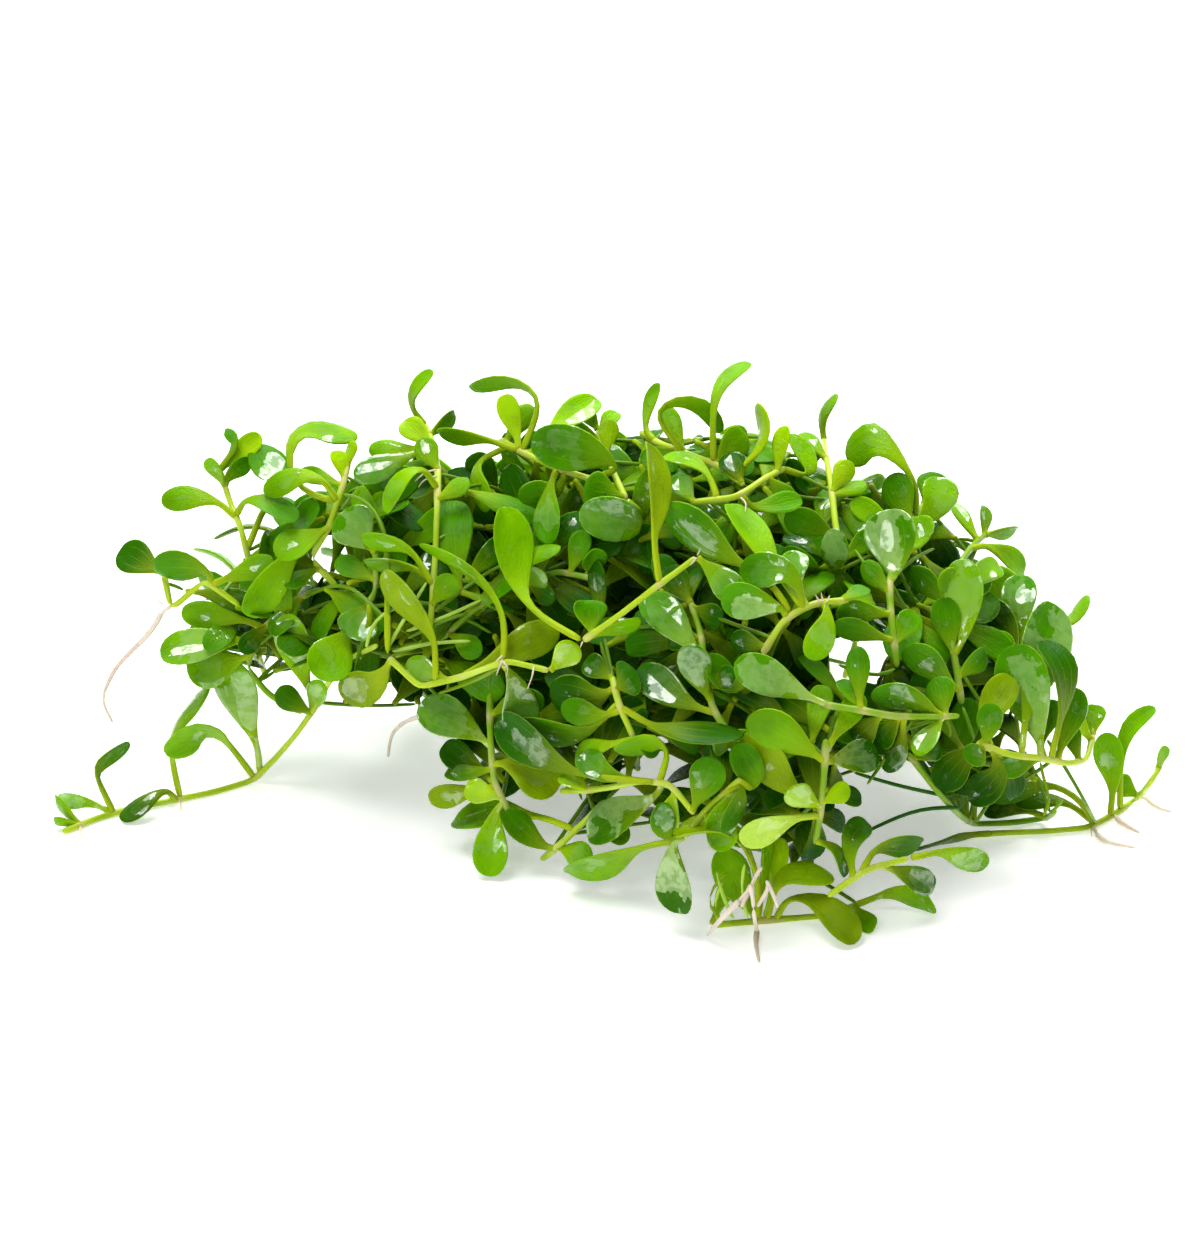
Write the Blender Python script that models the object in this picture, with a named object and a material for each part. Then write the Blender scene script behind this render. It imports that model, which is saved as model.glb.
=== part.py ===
"""A loose handful of glossostigma: creeping stems with pairs of spoon-shaped leaves, and roots.

Metres, +Z up. The heap lies on the plane z = 0. The front faces -Y. Every stem with the leaves
that grow from it is one solid. Where a stem or a leaf lies follows the photograph, so the routes
below are written as they are seen there: across, down, and how deep behind the heap's surface.
"""

import math
import random
from typing import NamedTuple

import bmesh
import bpy
from mathutils import Matrix, Vector
from mathutils.bvhtree import BVHTree

# Driving dimensions
MM = 0.001
CLUMP_LENGTH = 100 * MM
STEM_RADIUS = 0.47 * MM  # to the corners of a four-sided stem
STALK_RADIUS = 0.24 * MM
ROOT_RADIUS = 0.20 * MM
STEM_TAPER = 0.85  # a stem's end against its start
ROOT_TAPER = 0.5
STEM_STRETCH = 3.8 * MM  # length of a stem's straight stretches
ROOT_STRETCH = 2.4 * MM
ROOT_STEP = 0.4 * MM  # leaves start at points this far apart
BLADE_THICKNESS = 0.42 * MM
BLADE_LENGTH = 2.1  # a blade's length against its width
MOST_BLADE = 0.86  # the most of a leaf's length that its blade takes
NATURAL_WIDTH = 0.34  # a leaf's width against its length, within these two
LEAST_WIDTH = 1.9 * MM
MOST_WIDTH = 4.2 * MM
ROUNDED_WIDTH = 3.2 * MM  # a wider blade has one more section, for its round end
TIP_HEIGHT = 0.12 * MM  # least height of a leaf's tip
EDGE_ROOM = 0.2 * MM  # height within which a low blade's edge may drop
STALK_FOOT = 1.6 * MM  # how far from its root a leaf may meet its own stem
LIE = 0.33 * MM  # height of a stem's middle where it lies on the surface
FOOT = 0.04 * MM  # height of a standing stem's lower end
TOUCH = 0.10 * MM  # room kept between two plants
CENTRING = Vector((-0.87, 0.63, 0.0)) * MM  # brings the middle of the clump to the origin

# How the photograph sees the clump
PHOTO_LENGTH = 1134  # pixels that the clump's length takes
PIXEL = CLUMP_LENGTH / PHOTO_LENGTH
PHOTO_MIDDLE = (600, 618)
AIM = Vector((-0.44, 0.0, 16.9)) * MM
VIEW_TILT = math.radians(26)
VIEW_DISTANCE = 600 * MM
INTO_VIEW = Vector((0, math.cos(VIEW_TILT), -math.sin(VIEW_TILT)))
UP_VIEW = Vector((0, math.sin(VIEW_TILT), math.cos(VIEW_TILT)))
EYE = AIM - INTO_VIEW * VIEW_DISTANCE

# The heap's outer form, in mm: at each place across, half its depth, where that depth has its
# middle, and its height
HEAP = (
    (-52, 5, 2.0, 10.0),
    (-43, 7, 3.0, 20.5),
    (-30, 12, 4.0, 28.6),
    (-18, 16, 4.0, 32.7),
    (-5, 22, 5.0, 33.1),
    (5, 27, 1.0, 34.3),
    (12, 30, -1.0, 34.8),
    (25, 27, -1.0, 30.0),
    (36, 20, -2.0, 22.9),
    (45, 12, -4.0, 9.1),
    (53, 8, -5.0, 6.0),
)
LEANS = (0, -0.8, 0.8, -1.6, 1.6, -2.4, 2.4, -3.2, 3.2, -4.2, 4.2)  # mm, tried in turn
MOST_REACH = 0.7  # a leaf's reach into the picture, as a share of its length as seen
SMALLEST_SOLID = 4.6 * MM  # shorter leaves are left to the finish
FLAT_ENOUGH = math.radians(3)  # facets that turn less than this become one
LEAST_SEEN = 0.30  # how narrow a turned leaf is seen, as a share of its width
SMALL_TURNS = (0.05, 0.45)  # radians that a leaf which faces the view is turned
BEND_LATE = 1.3  # how late along a leaf its depth changes
STEM_STEPS, LEAF_STEPS, ROOT_STEPS = 8, 6, 4  # points in each stretch of a smooth curve
SURFACE_BLOCK = (200 * MM, 200 * MM, 10 * MM)


class Leaf(NamedTuple):
    """A leaf as seen: its middle line, its width in pixels, its tip's depth in mm."""

    points: tuple
    wide: float
    tip: float


class Shoot(NamedTuple):
    """A stem and its leaves. A free one's leaves count depth from the stem, not the heap."""

    name: str
    stem: tuple
    leaves: tuple
    free: bool = False


def leaf(*points, wide, tip=0.0):
    """One row of a shoot's leaves."""
    return Leaf(points, wide, tip)


SHOOTS = (
    Shoot(
        "runner_left_trailing",
        ((62, 832), (80, 825), (114, 812), (141, 806), (180, 799), (210, 793), (256, 779),
         (282, 750, 7.5), (308, 719, 6), (335, 672, 4), (350, 658, 3), (378, 645, 1)),
        (
            leaf((78, 825), (47, 795), wide=22, tip=1),
            leaf((80, 826), (42, 820), wide=13, tip=-1),
            leaf((112, 811), (80, 799), (58, 800), wide=14, tip=1.5),
            leaf((112, 809), (96, 775), (98, 765), (130, 741), wide=13, tip=1),
            leaf((177, 797), (160, 791), (120, 821), wide=17, tip=-4),
            leaf((179, 793), (172, 760), (173, 733), (211, 684), wide=20, tip=2),
            leaf((252, 776), (225, 740), (203, 728), (162, 752), wide=25, tip=-3),
            leaf((258, 773), (257, 745), (247, 722), (222, 655), wide=37, tip=-1),
            leaf((309, 714), (276, 690), wide=24, tip=-2),
            leaf((309, 714), (322, 680), wide=22, tip=-1),
            leaf((318, 697), (307, 685), (286, 612), wide=27, tip=2),
        ),
        free=True,
    ),
    Shoot(
        "offshoot_left_low",
        ((303, 713, 5.5), (285, 703, 5), (256, 687, 5), (246, 662, 5), (262, 630, 5),
         (292, 600, 5.5), (322, 588, 6)),
        (
            leaf((248, 657), (186, 672), wide=45, tip=3),
            leaf((250, 640), (225, 640), (159, 657), wide=38, tip=1),
            leaf((262, 625), (243, 620), (180, 612), wide=28, tip=3),
            leaf((265, 622), (239, 652), wide=20, tip=0),
            leaf((300, 600), (273, 637), wide=24, tip=2),
        ),
    ),
    Shoot(
        "shoot_far_left",
        ((164, 574, 2), (162, 606, 1), (180, 606, 1), (203, 581, 1), (222, 584, 2),
         (240, 606, 3)),
        (
            leaf((168, 568), (119, 550), wide=36, tip=2),
            leaf((222, 570), (204, 568), (152, 566), wide=36, tip=0),
            leaf((222, 572), (275, 560), wide=25, tip=2),
        ),
    ),
    Shoot(
        "shoot_left_upper",
        ((270, 606, 6), (256, 582, 5), (247, 556, 3.5), (243, 535, 2.5), (237, 518, 2),
         (228, 498, 2), (221, 488, 2), (220, 470, 2)),
        (
            leaf((236, 520), (210, 499), (160, 499), wide=23, tip=1),
            leaf((238, 515), (252, 498), (298, 522), wide=22, tip=1),
            leaf((226, 484), (230, 474), (250, 458), wide=19, tip=2),
            leaf((246, 550), (268, 500), (285, 482), (253, 444), wide=32, tip=3),
            leaf((221, 486), (209, 457), wide=14, tip=1),
        ),
    ),
    Shoot(
        "shoot_left_arching",
        ((338, 588, 5), (318, 572, 4), (309, 552, 4), (325, 533, 3), (332, 523, 2),
         (338, 500, 2), (342, 490, 2), (345, 475, 2), (349, 460, 2)),
        (
            leaf((338, 500), (300, 492), (288, 467), (290, 445), (303, 428), (359, 434),
                 wide=27, tip=2),
            leaf((338, 500), (312, 474), (262, 492), wide=20, tip=0),
            leaf((341, 486), (298, 472), wide=18, tip=1.5),
            leaf((345, 478), (335, 450), wide=18, tip=4),
            leaf((325, 524), (275, 557), wide=33, tip=1),
            leaf((330, 528), (300, 548), (283, 563), (246, 617), wide=32, tip=-1),
            leaf((312, 572), (283, 585), wide=16, tip=0),
            leaf((347, 466), (352, 440), wide=14, tip=3),
        ),
    ),
    Shoot(
        "shoot_left_inner",
        ((340, 655, 4), (352, 625, 3.5), (372, 600, 3), (380, 575, 3), (374, 548, 3),
         (366, 525, 4)),
        (
            leaf((350, 625), (317, 680), wide=45, tip=1),
            leaf((372, 600), (352, 640), wide=42, tip=0),
            leaf((375, 552), (340, 512), wide=42, tip=1),
            leaf((368, 530), (386, 492), wide=26, tip=3),
            leaf((378, 580), (335, 560), wide=22, tip=3),
        ),
    ),
    Shoot(
        "shoot_crown_left",
        ((425, 425, 3), (434, 448, 2), (438, 470, 1), (438, 490, 0.5), (437, 508, 0.5),
         (436, 540, 1), (433, 590, 1), (430, 632, 1)),
        (
            leaf((430, 452), (410, 455), (353, 478), wide=25, tip=0),
            leaf((428, 448), (402, 450), (368, 448), wide=18, tip=3),
            leaf((430, 446), (402, 422), wide=26, tip=3),
            leaf((422, 428), (410, 400), (434, 370), wide=14, tip=3),
            leaf((428, 436), (455, 412), wide=16, tip=4),
            leaf((437, 470), (420, 438), wide=24, tip=1),
            leaf((437, 490), (415, 466), (386, 515), wide=22, tip=-0.5),
            leaf((438, 500), (470, 480), wide=22, tip=0),
            leaf((434, 586), (405, 545), (361, 538), wide=15, tip=0),
            leaf((434, 580), (408, 566), (363, 562), wide=16, tip=1),
            leaf((432, 606), (455, 575), wide=25, tip=0),
        ),
    ),
    Shoot(
        "runner_middle_left",
        ((388, 657, -1), (400, 675, -1.5), (415, 685, -2), (433, 689, -2), (460, 678, -2),
         (502, 661, -2), (520, 666, -2), (535, 675, -2), (550, 671, -2)),
        (
            leaf((503, 658), (505, 630), (498, 602), (475, 575), (417, 544), wide=14, tip=-1),
            leaf((550, 668), (577, 643), wide=28, tip=-1),
            leaf((460, 675), (500, 655), (560, 628), wide=36, tip=1.5),
            leaf((447, 682), (405, 664), wide=28, tip=0),
            leaf((435, 683), (435, 650), (428, 625), (383, 569), wide=25, tip=-1),
            leaf((389, 655), (387, 620), (388, 580), (389, 545), (357, 487), wide=18, tip=-0.5),
            leaf((392, 660), (372, 688), (337, 690), wide=40, tip=1),
        ),
    ),
    Shoot(
        "stem_behind_middle",
        ((400, 648, 3), (440, 640, 3), (470, 612, 3), (500, 595, 3), (535, 578, 3.5),
         (570, 570, 4), (600, 580, 5)),
        (
            leaf((500, 592), (525, 558), (562, 548), wide=20, tip=1),
            leaf((530, 584), (556, 600), wide=20, tip=0),
            leaf((590, 576), (594, 548), wide=26, tip=2),
            leaf((572, 568), (585, 530), wide=22, tip=3),
            leaf((450, 634), (482, 655), wide=24, tip=1),
            leaf((480, 604), (455, 570), wide=20, tip=3),
            leaf((540, 576), (545, 525), wide=26, tip=3),
        ),
    ),
    Shoot(
        "runner_centre",
        ((583, 641, -1.5), (605, 626, -2), (640, 600, -2), (661, 583, -2), (680, 569, -2),
         (697, 557, -1.5)),
        (
            leaf((584, 640), (560, 628), (530, 608), (515, 577), (503, 505), wide=44, tip=-1.5),
            leaf((590, 637), (641, 618), wide=18, tip=-1),
            leaf((592, 636), (585, 600), wide=36, tip=1),
            leaf((661, 583), (654, 540), (656, 503), (645, 440), wide=32, tip=0),
            leaf((697, 556), (720, 578), (742, 602), wide=30, tip=0.5),
        ),
    ),
    Shoot(
        "shoot_top_left",
        ((500, 440, 4), (523, 453, 1), (545, 465, 1), (568, 470, 1.5), (600, 482, 3)),
        (
            leaf((520, 448), (480, 438), (437, 432), wide=17, tip=2),
            leaf((523, 452), (540, 400), (510, 378), (469, 389), wide=13, tip=3),
            leaf((520, 448), (516, 430), (503, 394), wide=22, tip=2),
            leaf((530, 456), (552, 432), (599, 399), wide=25, tip=1.5),
            leaf((590, 476), (620, 467), (600, 455), (529, 440), wide=42, tip=-1),
            leaf((510, 446), (474, 468), (489, 512), wide=16, tip=-0.5),
            leaf((566, 470), (556, 492), (517, 494), wide=28, tip=1),
            leaf((556, 468), (548, 500), (552, 545), wide=30, tip=0),
            leaf((505, 443), (532, 404), wide=24, tip=4.5),
        ),
    ),
    Shoot(
        "shoot_top_middle",
        ((626, 500, 4), (616, 478, 4), (606, 455, 4), (598, 430, 4)),
        (
            leaf((606, 456), (610, 418), wide=20, tip=3),
            leaf((598, 432), (618, 412), wide=16, tip=4),
            leaf((598, 430), (582, 404), wide=20, tip=5),
            leaf((622, 498), (583, 488), wide=30, tip=1),
            leaf((626, 500), (650, 524), (577, 512), wide=33, tip=1),
            leaf((602, 440), (570, 428), wide=22, tip=4),
        ),
    ),
    Shoot(
        "shoot_top_inner_right",
        ((640, 432, 4), (662, 445, 3), (690, 455, 2), (720, 466, 2.5), (745, 486, 3)),
        (
            leaf((655, 440), (645, 425), (659, 382), wide=13, tip=3),
            leaf((684, 452), (655, 412), (680, 399), (705, 408), (720, 435), wide=16, tip=1),
            leaf((684, 452), (665, 405), wide=20, tip=3),
            leaf((715, 464), (713, 412), (722, 385), (751, 362), wide=13, tip=3),
            leaf((735, 474), (765, 440), (755, 404), wide=20, tip=3),
            leaf((716, 462), (745, 432), wide=30, tip=2),
            leaf((742, 484), (728, 452), wide=20, tip=1),
            leaf((675, 450), (640, 462), wide=22, tip=2),
        ),
    ),
    Shoot(
        "runner_on_top",
        ((690, 503, 0), (712, 501, -0.3), (735, 498, -0.5), (751, 488, 0), (767, 477, 0),
         (785, 468, 1)),
        (
            leaf((716, 502), (713, 485), (700, 466), (662, 457), wide=16, tip=0),
            leaf((740, 496), (757, 508), (803, 500), wide=20, tip=-0.5),
            leaf((776, 472), (785, 425), wide=17, tip=3),
            leaf((783, 469), (812, 475), (788, 433), wide=22, tip=1.5),
            leaf((694, 503), (672, 478), wide=26, tip=1),
            leaf((768, 478), (795, 505), wide=22, tip=1.5),
        ),
    ),
    Shoot(
        "shoot_top_right",
        ((842, 560, 3), (836, 530, 2.5), (832, 492, 1.5), (827, 462, 1.5), (824, 440, 2)),
        (
            leaf((824, 440), (822, 415), (837, 393), wide=13, tip=3),
            leaf((832, 492), (850, 460), wide=22, tip=1.5),
            leaf((833, 496), (866, 482), wide=18, tip=2),
            leaf((836, 535), (785, 512), wide=30, tip=1),
            leaf((840, 556), (832, 575), (838, 528), wide=30, tip=-0.5),
            leaf((838, 552), (815, 572), (788, 545), wide=26, tip=0),
            leaf((827, 460), (800, 433), wide=16, tip=4),
            leaf((842, 558), (875, 532), wide=22, tip=3),
        ),
    ),
    Shoot(
        "shoot_right_arching",
        ((897, 668, 1), (892, 630, 0.5), (892, 605, 0), (889, 582, 0.5), (896, 552, 2),
         (912, 524, 3), (926, 500, 4)),
        (
            leaf((889, 582), (896, 566), (888, 508), wide=50, tip=-1.5),
            leaf((891, 592), (862, 562), wide=22, tip=1),
            leaf((892, 612), (835, 612), wide=25, tip=0.5),
            leaf((892, 640), (832, 624), wide=25, tip=0),
            leaf((916, 518), (915, 482), (897, 458), (876, 433), (846, 462), wide=28, tip=2),
            leaf((912, 524), (889, 474), wide=36, tip=4),
            leaf((905, 538), (850, 500), wide=24, tip=2),
            leaf((924, 505), (938, 472), wide=35, tip=3),
            leaf((893, 645), (915, 612), wide=26, tip=2),
        ),
    ),
    Shoot(
        "shoot_centre_right",
        ((762, 655, 1), (774, 636, 0), (788, 612, -1), (800, 601, -1.5), (820, 603, -1.5),
         (850, 600, -1)),
        (
            leaf((790, 608), (770, 580), (745, 566), (725, 554), (662, 506), wide=42, tip=-1),
            leaf((786, 615), (775, 606), (720, 597), wide=28, tip=-0.5),
            leaf((800, 601), (768, 560), (727, 503), wide=32, tip=1),
            leaf((802, 601), (790, 575), (803, 552), wide=28, tip=1),
            leaf((822, 603), (828, 620), (808, 660), wide=27, tip=-1.5),
            leaf((762, 655), (735, 690), (705, 655), wide=27, tip=1),
            leaf((768, 646), (730, 640), wide=26, tip=2),
            leaf((842, 601), (868, 588), wide=16, tip=0),
        ),
    ),
    Shoot(
        "stem_behind_centre",
        ((735, 742, 2), (716, 715, 2), (704, 690, 2), (706, 660, 2.5), (700, 630, 3),
         (690, 600, 3.5)),
        (
            leaf((704, 660), (643, 595), wide=38, tip=1),
            leaf((706, 700), (700, 680), (688, 643), wide=35, tip=0),
            leaf((716, 715), (680, 700), (638, 668), wide=35, tip=1),
            leaf((704, 690), (735, 672), wide=24, tip=1),
            leaf((692, 602), (668, 566), wide=26, tip=4),
            leaf((694, 606), (724, 620), wide=24, tip=2),
            leaf((702, 636), (668, 640), wide=26, tip=3),
        ),
    ),
    Shoot(
        "shoot_far_right_top",
        ((962, 705, 2), (955, 660, 2), (948, 615, 2), (952, 580, 1.5), (962, 560, 1),
         (970, 548, 1), (985, 535, 1)),
        (
            leaf((985, 535), (983, 505), wide=15, tip=1),
            leaf((984, 534), (1017, 529), wide=14, tip=2),
            leaf((978, 541), (950, 503), wide=16, tip=3),
            leaf((970, 549), (990, 547), (1025, 572), wide=20, tip=0.5),
            leaf((952, 655), (965, 628), (962, 557), wide=46, tip=-1.5),
            leaf((950, 600), (987, 572), wide=32, tip=3),
            leaf((949, 605), (910, 568), wide=26, tip=2.5),
            leaf((954, 655), (950, 640), (942, 596), wide=30, tip=1),
            leaf((960, 692), (905, 646), wide=32, tip=0),
            leaf((958, 680), (985, 650), wide=24, tip=1),
            leaf((950, 620), (1000, 600), wide=32, tip=3.5),
        ),
    ),
    Shoot(
        "shoot_far_right",
        ((975, 743, 0.5), (992, 750, 0), (1015, 756, 0), (1040, 758, 0), (1065, 762, 0),
         (1082, 772, 0), (1088, 755, 0.5), (1093, 735, 1)),
        (
            leaf((1091, 740), (1068, 711), wide=18, tip=1),
            leaf((1093, 736), (1095, 704), wide=22, tip=2),
            leaf((1081, 770), (1068, 723), wide=18, tip=0),
            leaf((1040, 758), (997, 770), wide=24, tip=-1),
            leaf((1058, 761), (1078, 687), wide=30, tip=3.5),
            leaf((1044, 757), (1040, 735), (1058, 700), wide=24, tip=2),
            leaf((1040, 757), (1036, 720), (1012, 643), wide=42, tip=-1),
            leaf((1022, 757), (1030, 690), (1055, 602), wide=42, tip=2),
            leaf((990, 749), (985, 720), (1012, 675), wide=28, tip=0),
            leaf((980, 746), (988, 735), (990, 702), wide=26, tip=-1),
            leaf((1050, 758), (1066, 680), (1040, 640), wide=26, tip=4),
        ),
    ),
    Shoot(
        "stem_right_upright",
        ((1012, 700, 3.5), (1015, 665, 3.5), (1024, 640, 3.5), (1040, 622, 4)),
        (
            leaf((1020, 646), (1018, 608), (1022, 574), wide=36, tip=3),
            leaf((1036, 626), (1067, 625), (1087, 594), wide=15, tip=4),
            leaf((1014, 680), (990, 632), wide=32, tip=3),
            leaf((1013, 690), (1050, 675), wide=24, tip=4.5),
        ),
    ),
    Shoot(
        "runner_right_centre",
        ((818, 704, -0.5), (830, 705, -1), (860, 710, -1.5), (900, 717, -1.5),
         (943, 716, -1.5), (960, 716, -1)),
        (
            leaf((826, 705), (790, 688), (733, 662), wide=38, tip=-0.5),
            leaf((944, 717), (915, 700), (870, 693), wide=30, tip=-1),
            leaf((943, 717), (918, 757), wide=25, tip=-1.5),
            leaf((945, 716), (937, 676), wide=30, tip=1),
            leaf((862, 710), (857, 645), wide=24, tip=1),
            leaf((866, 710), (838, 680), wide=18, tip=1),
            leaf((900, 717), (880, 745), wide=24, tip=1),
        ),
    ),
    Shoot(
        "shoot_right_middle",
        ((826, 738, -1), (824, 762, -1), (824, 785, -0.5), (822, 805, 0), (818, 825, 0.5),
         (815, 845, 1)),
        (
            leaf((824, 764), (800, 745), (747, 716), wide=42, tip=-1.5),
            leaf((825, 750), (862, 692), wide=25, tip=-0.5),
            leaf((825, 760), (879, 755), wide=26, tip=0),
            leaf((822, 806), (785, 785), (765, 755), (742, 733), wide=28, tip=0),
            leaf((822, 806), (787, 790), wide=28, tip=-1.5),
            leaf((823, 804), (850, 787), wide=22, tip=-1.5),
            leaf((820, 816), (790, 820), (738, 840), wide=25, tip=-0.5),
            leaf((817, 840), (837, 850), (845, 878), wide=14, tip=0),
            leaf((824, 790), (862, 800), wide=20, tip=2),
        ),
    ),
    Shoot(
        "runner_right_trailing",
        ((1163, 758, 3), (1157, 772, 2), (1150, 783, 1.5), (1138, 797), (1120, 810),
         (1095, 826), (1050, 831), (1000, 833), (965, 835)),
        (
            leaf((1110, 817), (1113, 775), (1105, 731), wide=27, tip=1),
            leaf((1120, 809), (1122, 745), (1135, 724), (1157, 707), wide=13, tip=1),
            leaf((1138, 796), (1115, 780), wide=22, tip=-0.5),
            leaf((1093, 825), (1085, 805), (1065, 790), (1040, 784), (985, 797), wide=20, tip=0),
            leaf((1095, 825), (1060, 800), (1015, 803), wide=14, tip=1),
            leaf((990, 834), (965, 836), (915, 850), wide=20, tip=-3.5),
            leaf((1158, 768), (1164, 745), wide=12, tip=0.5),
        ),
        free=True,
    ),
    Shoot(
        "runner_right_second",
        ((1062, 797, 2), (1055, 810, 1), (1045, 818), (1010, 823), (975, 824),
         (950, 806, 2.5), (928, 780, 2.5), (907, 752, 2.5)),
        (
            leaf((1047, 818), (1020, 809), (983, 812), wide=18, tip=1),
            leaf((968, 822), (950, 780), wide=22, tip=1),
            leaf((974, 822), (977, 752), wide=20, tip=2),
            leaf((930, 784), (912, 812), wide=20, tip=-1),
            leaf((912, 758), (940, 745), wide=24, tip=1),
        ),
        free=True,
    ),
    Shoot(
        "shoot_front_left",
        ((490, 692, 0.5), (487, 720, 0), (492, 748, 0), (494, 785, 0), (495, 806, 0),
         (512, 818, 0)),
        (
            leaf((490, 748), (470, 730), (417, 706), wide=42, tip=-1),
            leaf((493, 780), (442, 745), wide=28, tip=1.5),
            leaf((494, 786), (428, 799), wide=25, tip=0),
            leaf((493, 770), (462, 775), (445, 772), wide=18, tip=2),
            leaf((494, 762), (520, 765), (558, 792), wide=45, tip=1),
            leaf((495, 800), (464, 788), wide=25, tip=-1),
            leaf((495, 806), (493, 820), (490, 878), wide=35, tip=-1),
            leaf((488, 716), (520, 700), (545, 706), wide=30, tip=1),
        ),
    ),
    Shoot(
        "shoot_front_low",
        ((541, 860, 0.5), (555, 849, 0), (572, 834, 0), (588, 818, 0.5), (606, 800, 1)),
        (
            leaf((555, 849), (535, 842), (502, 812), wide=28, tip=0),
            leaf((575, 830), (530, 815), (453, 820), wide=30, tip=0.5),
            leaf((557, 848), (593, 860), wide=28, tip=-1),
            leaf((597, 808), (625, 845), wide=24, tip=-1),
        ),
    ),
    Shoot(
        "shoot_front_middle",
        ((560, 791, 0), (590, 790, -0.5), (625, 785, -1), (660, 778, -1.5), (680, 795, -1.5),
         (695, 815, -1.5)),
        (
            leaf((658, 778), (600, 777), (570, 770), (497, 717), wide=32, tip=-0.5),
            leaf((694, 812), (716, 757), wide=36, tip=-1),
            leaf((664, 782), (650, 800), (586, 835), wide=38, tip=0.5),
            leaf((660, 778), (668, 750), (655, 738), (615, 752), wide=24, tip=0),
            leaf((590, 790), (560, 775), wide=20, tip=1.5),
            leaf((676, 790), (664, 836), wide=24, tip=-1),
        ),
    ),
    Shoot(
        "shoot_front_hub",
        ((612, 676, 1), (618, 702, -1), (627, 720, -1.5), (634, 739, -1)),
        (
            leaf((617, 703), (600, 722), (575, 733), (520, 722), wide=25, tip=-0.5),
            leaf((620, 705), (645, 722), (665, 728), (745, 737), wide=32, tip=-1),
            leaf((633, 737), (600, 748), (575, 768), wide=24, tip=1),
            leaf((615, 688), (590, 700), (548, 690), wide=36, tip=1),
            leaf((616, 692), (638, 672), wide=35, tip=0),
            leaf((613, 678), (585, 660), wide=24, tip=2),
            leaf((634, 738), (660, 752), wide=22, tip=1),
            leaf((622, 710), (596, 716), (560, 706), wide=26, tip=1.5),
        ),
    ),
    Shoot(
        "runner_front_ground",
        ((712, 925), (735, 923), (760, 921), (795, 918), (830, 915), (858, 904)),
        (
            leaf((758, 920), (758, 880), (750, 855), (728, 828), (673, 838), wide=25, tip=-0.5),
            leaf((757, 918), (764, 870), (764, 822), wide=16, tip=1),
            leaf((756, 919), (730, 875), (718, 848), wide=38, tip=0.5),
            leaf((765, 918), (775, 880), (780, 836), wide=22, tip=1.5),
            leaf((768, 918), (784, 872), (836, 880), wide=30, tip=0),
            leaf((775, 918), (790, 898), (820, 902), (855, 946), wide=30, tip=-2),
            leaf((856, 905), (873, 932), wide=20, tip=-1),
            leaf((855, 905), (900, 892), (937, 914), wide=22, tip=-1),
            leaf((714, 924), (722, 900), (740, 876), wide=16, tip=1),
        ),
        free=True,
    ),
    Shoot(
        "shoot_front_hanging",
        ((742, 778, 0), (722, 795, -0.5), (704, 812, -0.5), (682, 840, -0.5)),
        (
            leaf((684, 836), (672, 850), (682, 915), wide=38, tip=-1),
            leaf((682, 838), (640, 848), (568, 874), wide=30, tip=0),
            leaf((690, 828), (665, 840), (662, 801), wide=24, tip=-1),
            leaf((704, 812), (730, 850), wide=30, tip=0),
            leaf((722, 795), (745, 785), (722, 832), wide=20, tip=-1),
            leaf((738, 782), (760, 790), (735, 742), wide=30, tip=0.5),
        ),
    ),
    Shoot(
        "runner_front_right",
        ((827, 897, -0.5), (848, 876, -0.5), (880, 866, -0.5), (910, 858, -0.5)),
        (
            leaf((908, 858), (950, 852), (987, 868), wide=22, tip=-0.5),
            leaf((880, 866), (900, 872), (935, 888), wide=26, tip=0.5),
            leaf((858, 872), (880, 846), (922, 843), wide=25, tip=1.5),
            leaf((850, 875), (850, 840), (868, 822), wide=24, tip=2),
        ),
    ),
)

# Roots: each with its route from the stem outwards
ROOTS = (
    ("root_left_hanging",
     ((162, 612, 1), (150, 632, 1), (120, 663, 1), (108, 683, 1), (103, 702, 1), (113, 723, 1))),
    ("root_left_small",
     ((434, 697, 0), (430, 712, 3), (405, 722, 8), (392, 735, 12), (388, 757, 14))),
    ("root_front_long",
     ((757, 930), (756, 944), (759, 962))),
    ("root_front_left",
     ((740, 900, -0.5), (722, 918, -1.5), (707, 936))),
    ("root_front_short",
     ((752, 884, 0), (746, 896, -0.5), (741, 908, -1))),
    ("root_right_long",
     ((1146, 797), (1157, 807), (1172, 812))),
    ("root_right_lower",
     ((1096, 834), (1108, 842), (1136, 848))),
    ("root_right_middle",
     ((1116, 818), (1125, 825), (1140, 833))),
)

# Stems that fill the heap behind and inside: the place across in mm at its foot and its head, the
# angle over the ground at both, seen from the heap's middle line, and how far out it runs
BACK_STEMS = (
    (-32, -26, 12, 62, 0.80),
    (-22, -18, 4, 70, 0.82),
    (-11, -11, 0, 74, 0.80),
    (0, -2, 0, 76, 0.83),
    (11, 9, 0, 76, 0.80),
    (22, 19, 0, 72, 0.82),
    (33, 29, 0, 64, 0.80),
)
BACK_NODES = 4
BACK_SWAY = 1.6 * MM
BACK_ROLL = 0.5
BACK_LENGTHS = (7.5 * MM, 10.5 * MM)
BACK_WIDTHS = (2.6 * MM, 4.0 * MM)
BACK_SPREAD = (0.5, 0.9)  # how far a leaf points outwards, and to its side
BACK_BEND = (0.05, 0.2)  # a leaf's bend against its length
BACK_TIP_HEIGHT = 0.8 * MM
BACK_HIDDEN = 0.9  # how near the heap's outline a back leaf's tip may show
BACK_LOWERING = 0.5 * MM


def line_of_sight(across, down):
    """The way from the eye to a pixel of the picture, on the plane through the aim."""
    seen = AIM + Vector((1, 0, 0)) * (across - PHOTO_MIDDLE[0]) * PIXEL
    seen += UP_VIEW * (PHOTO_MIDDLE[1] - down) * PIXEL
    return seen - EYE


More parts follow.
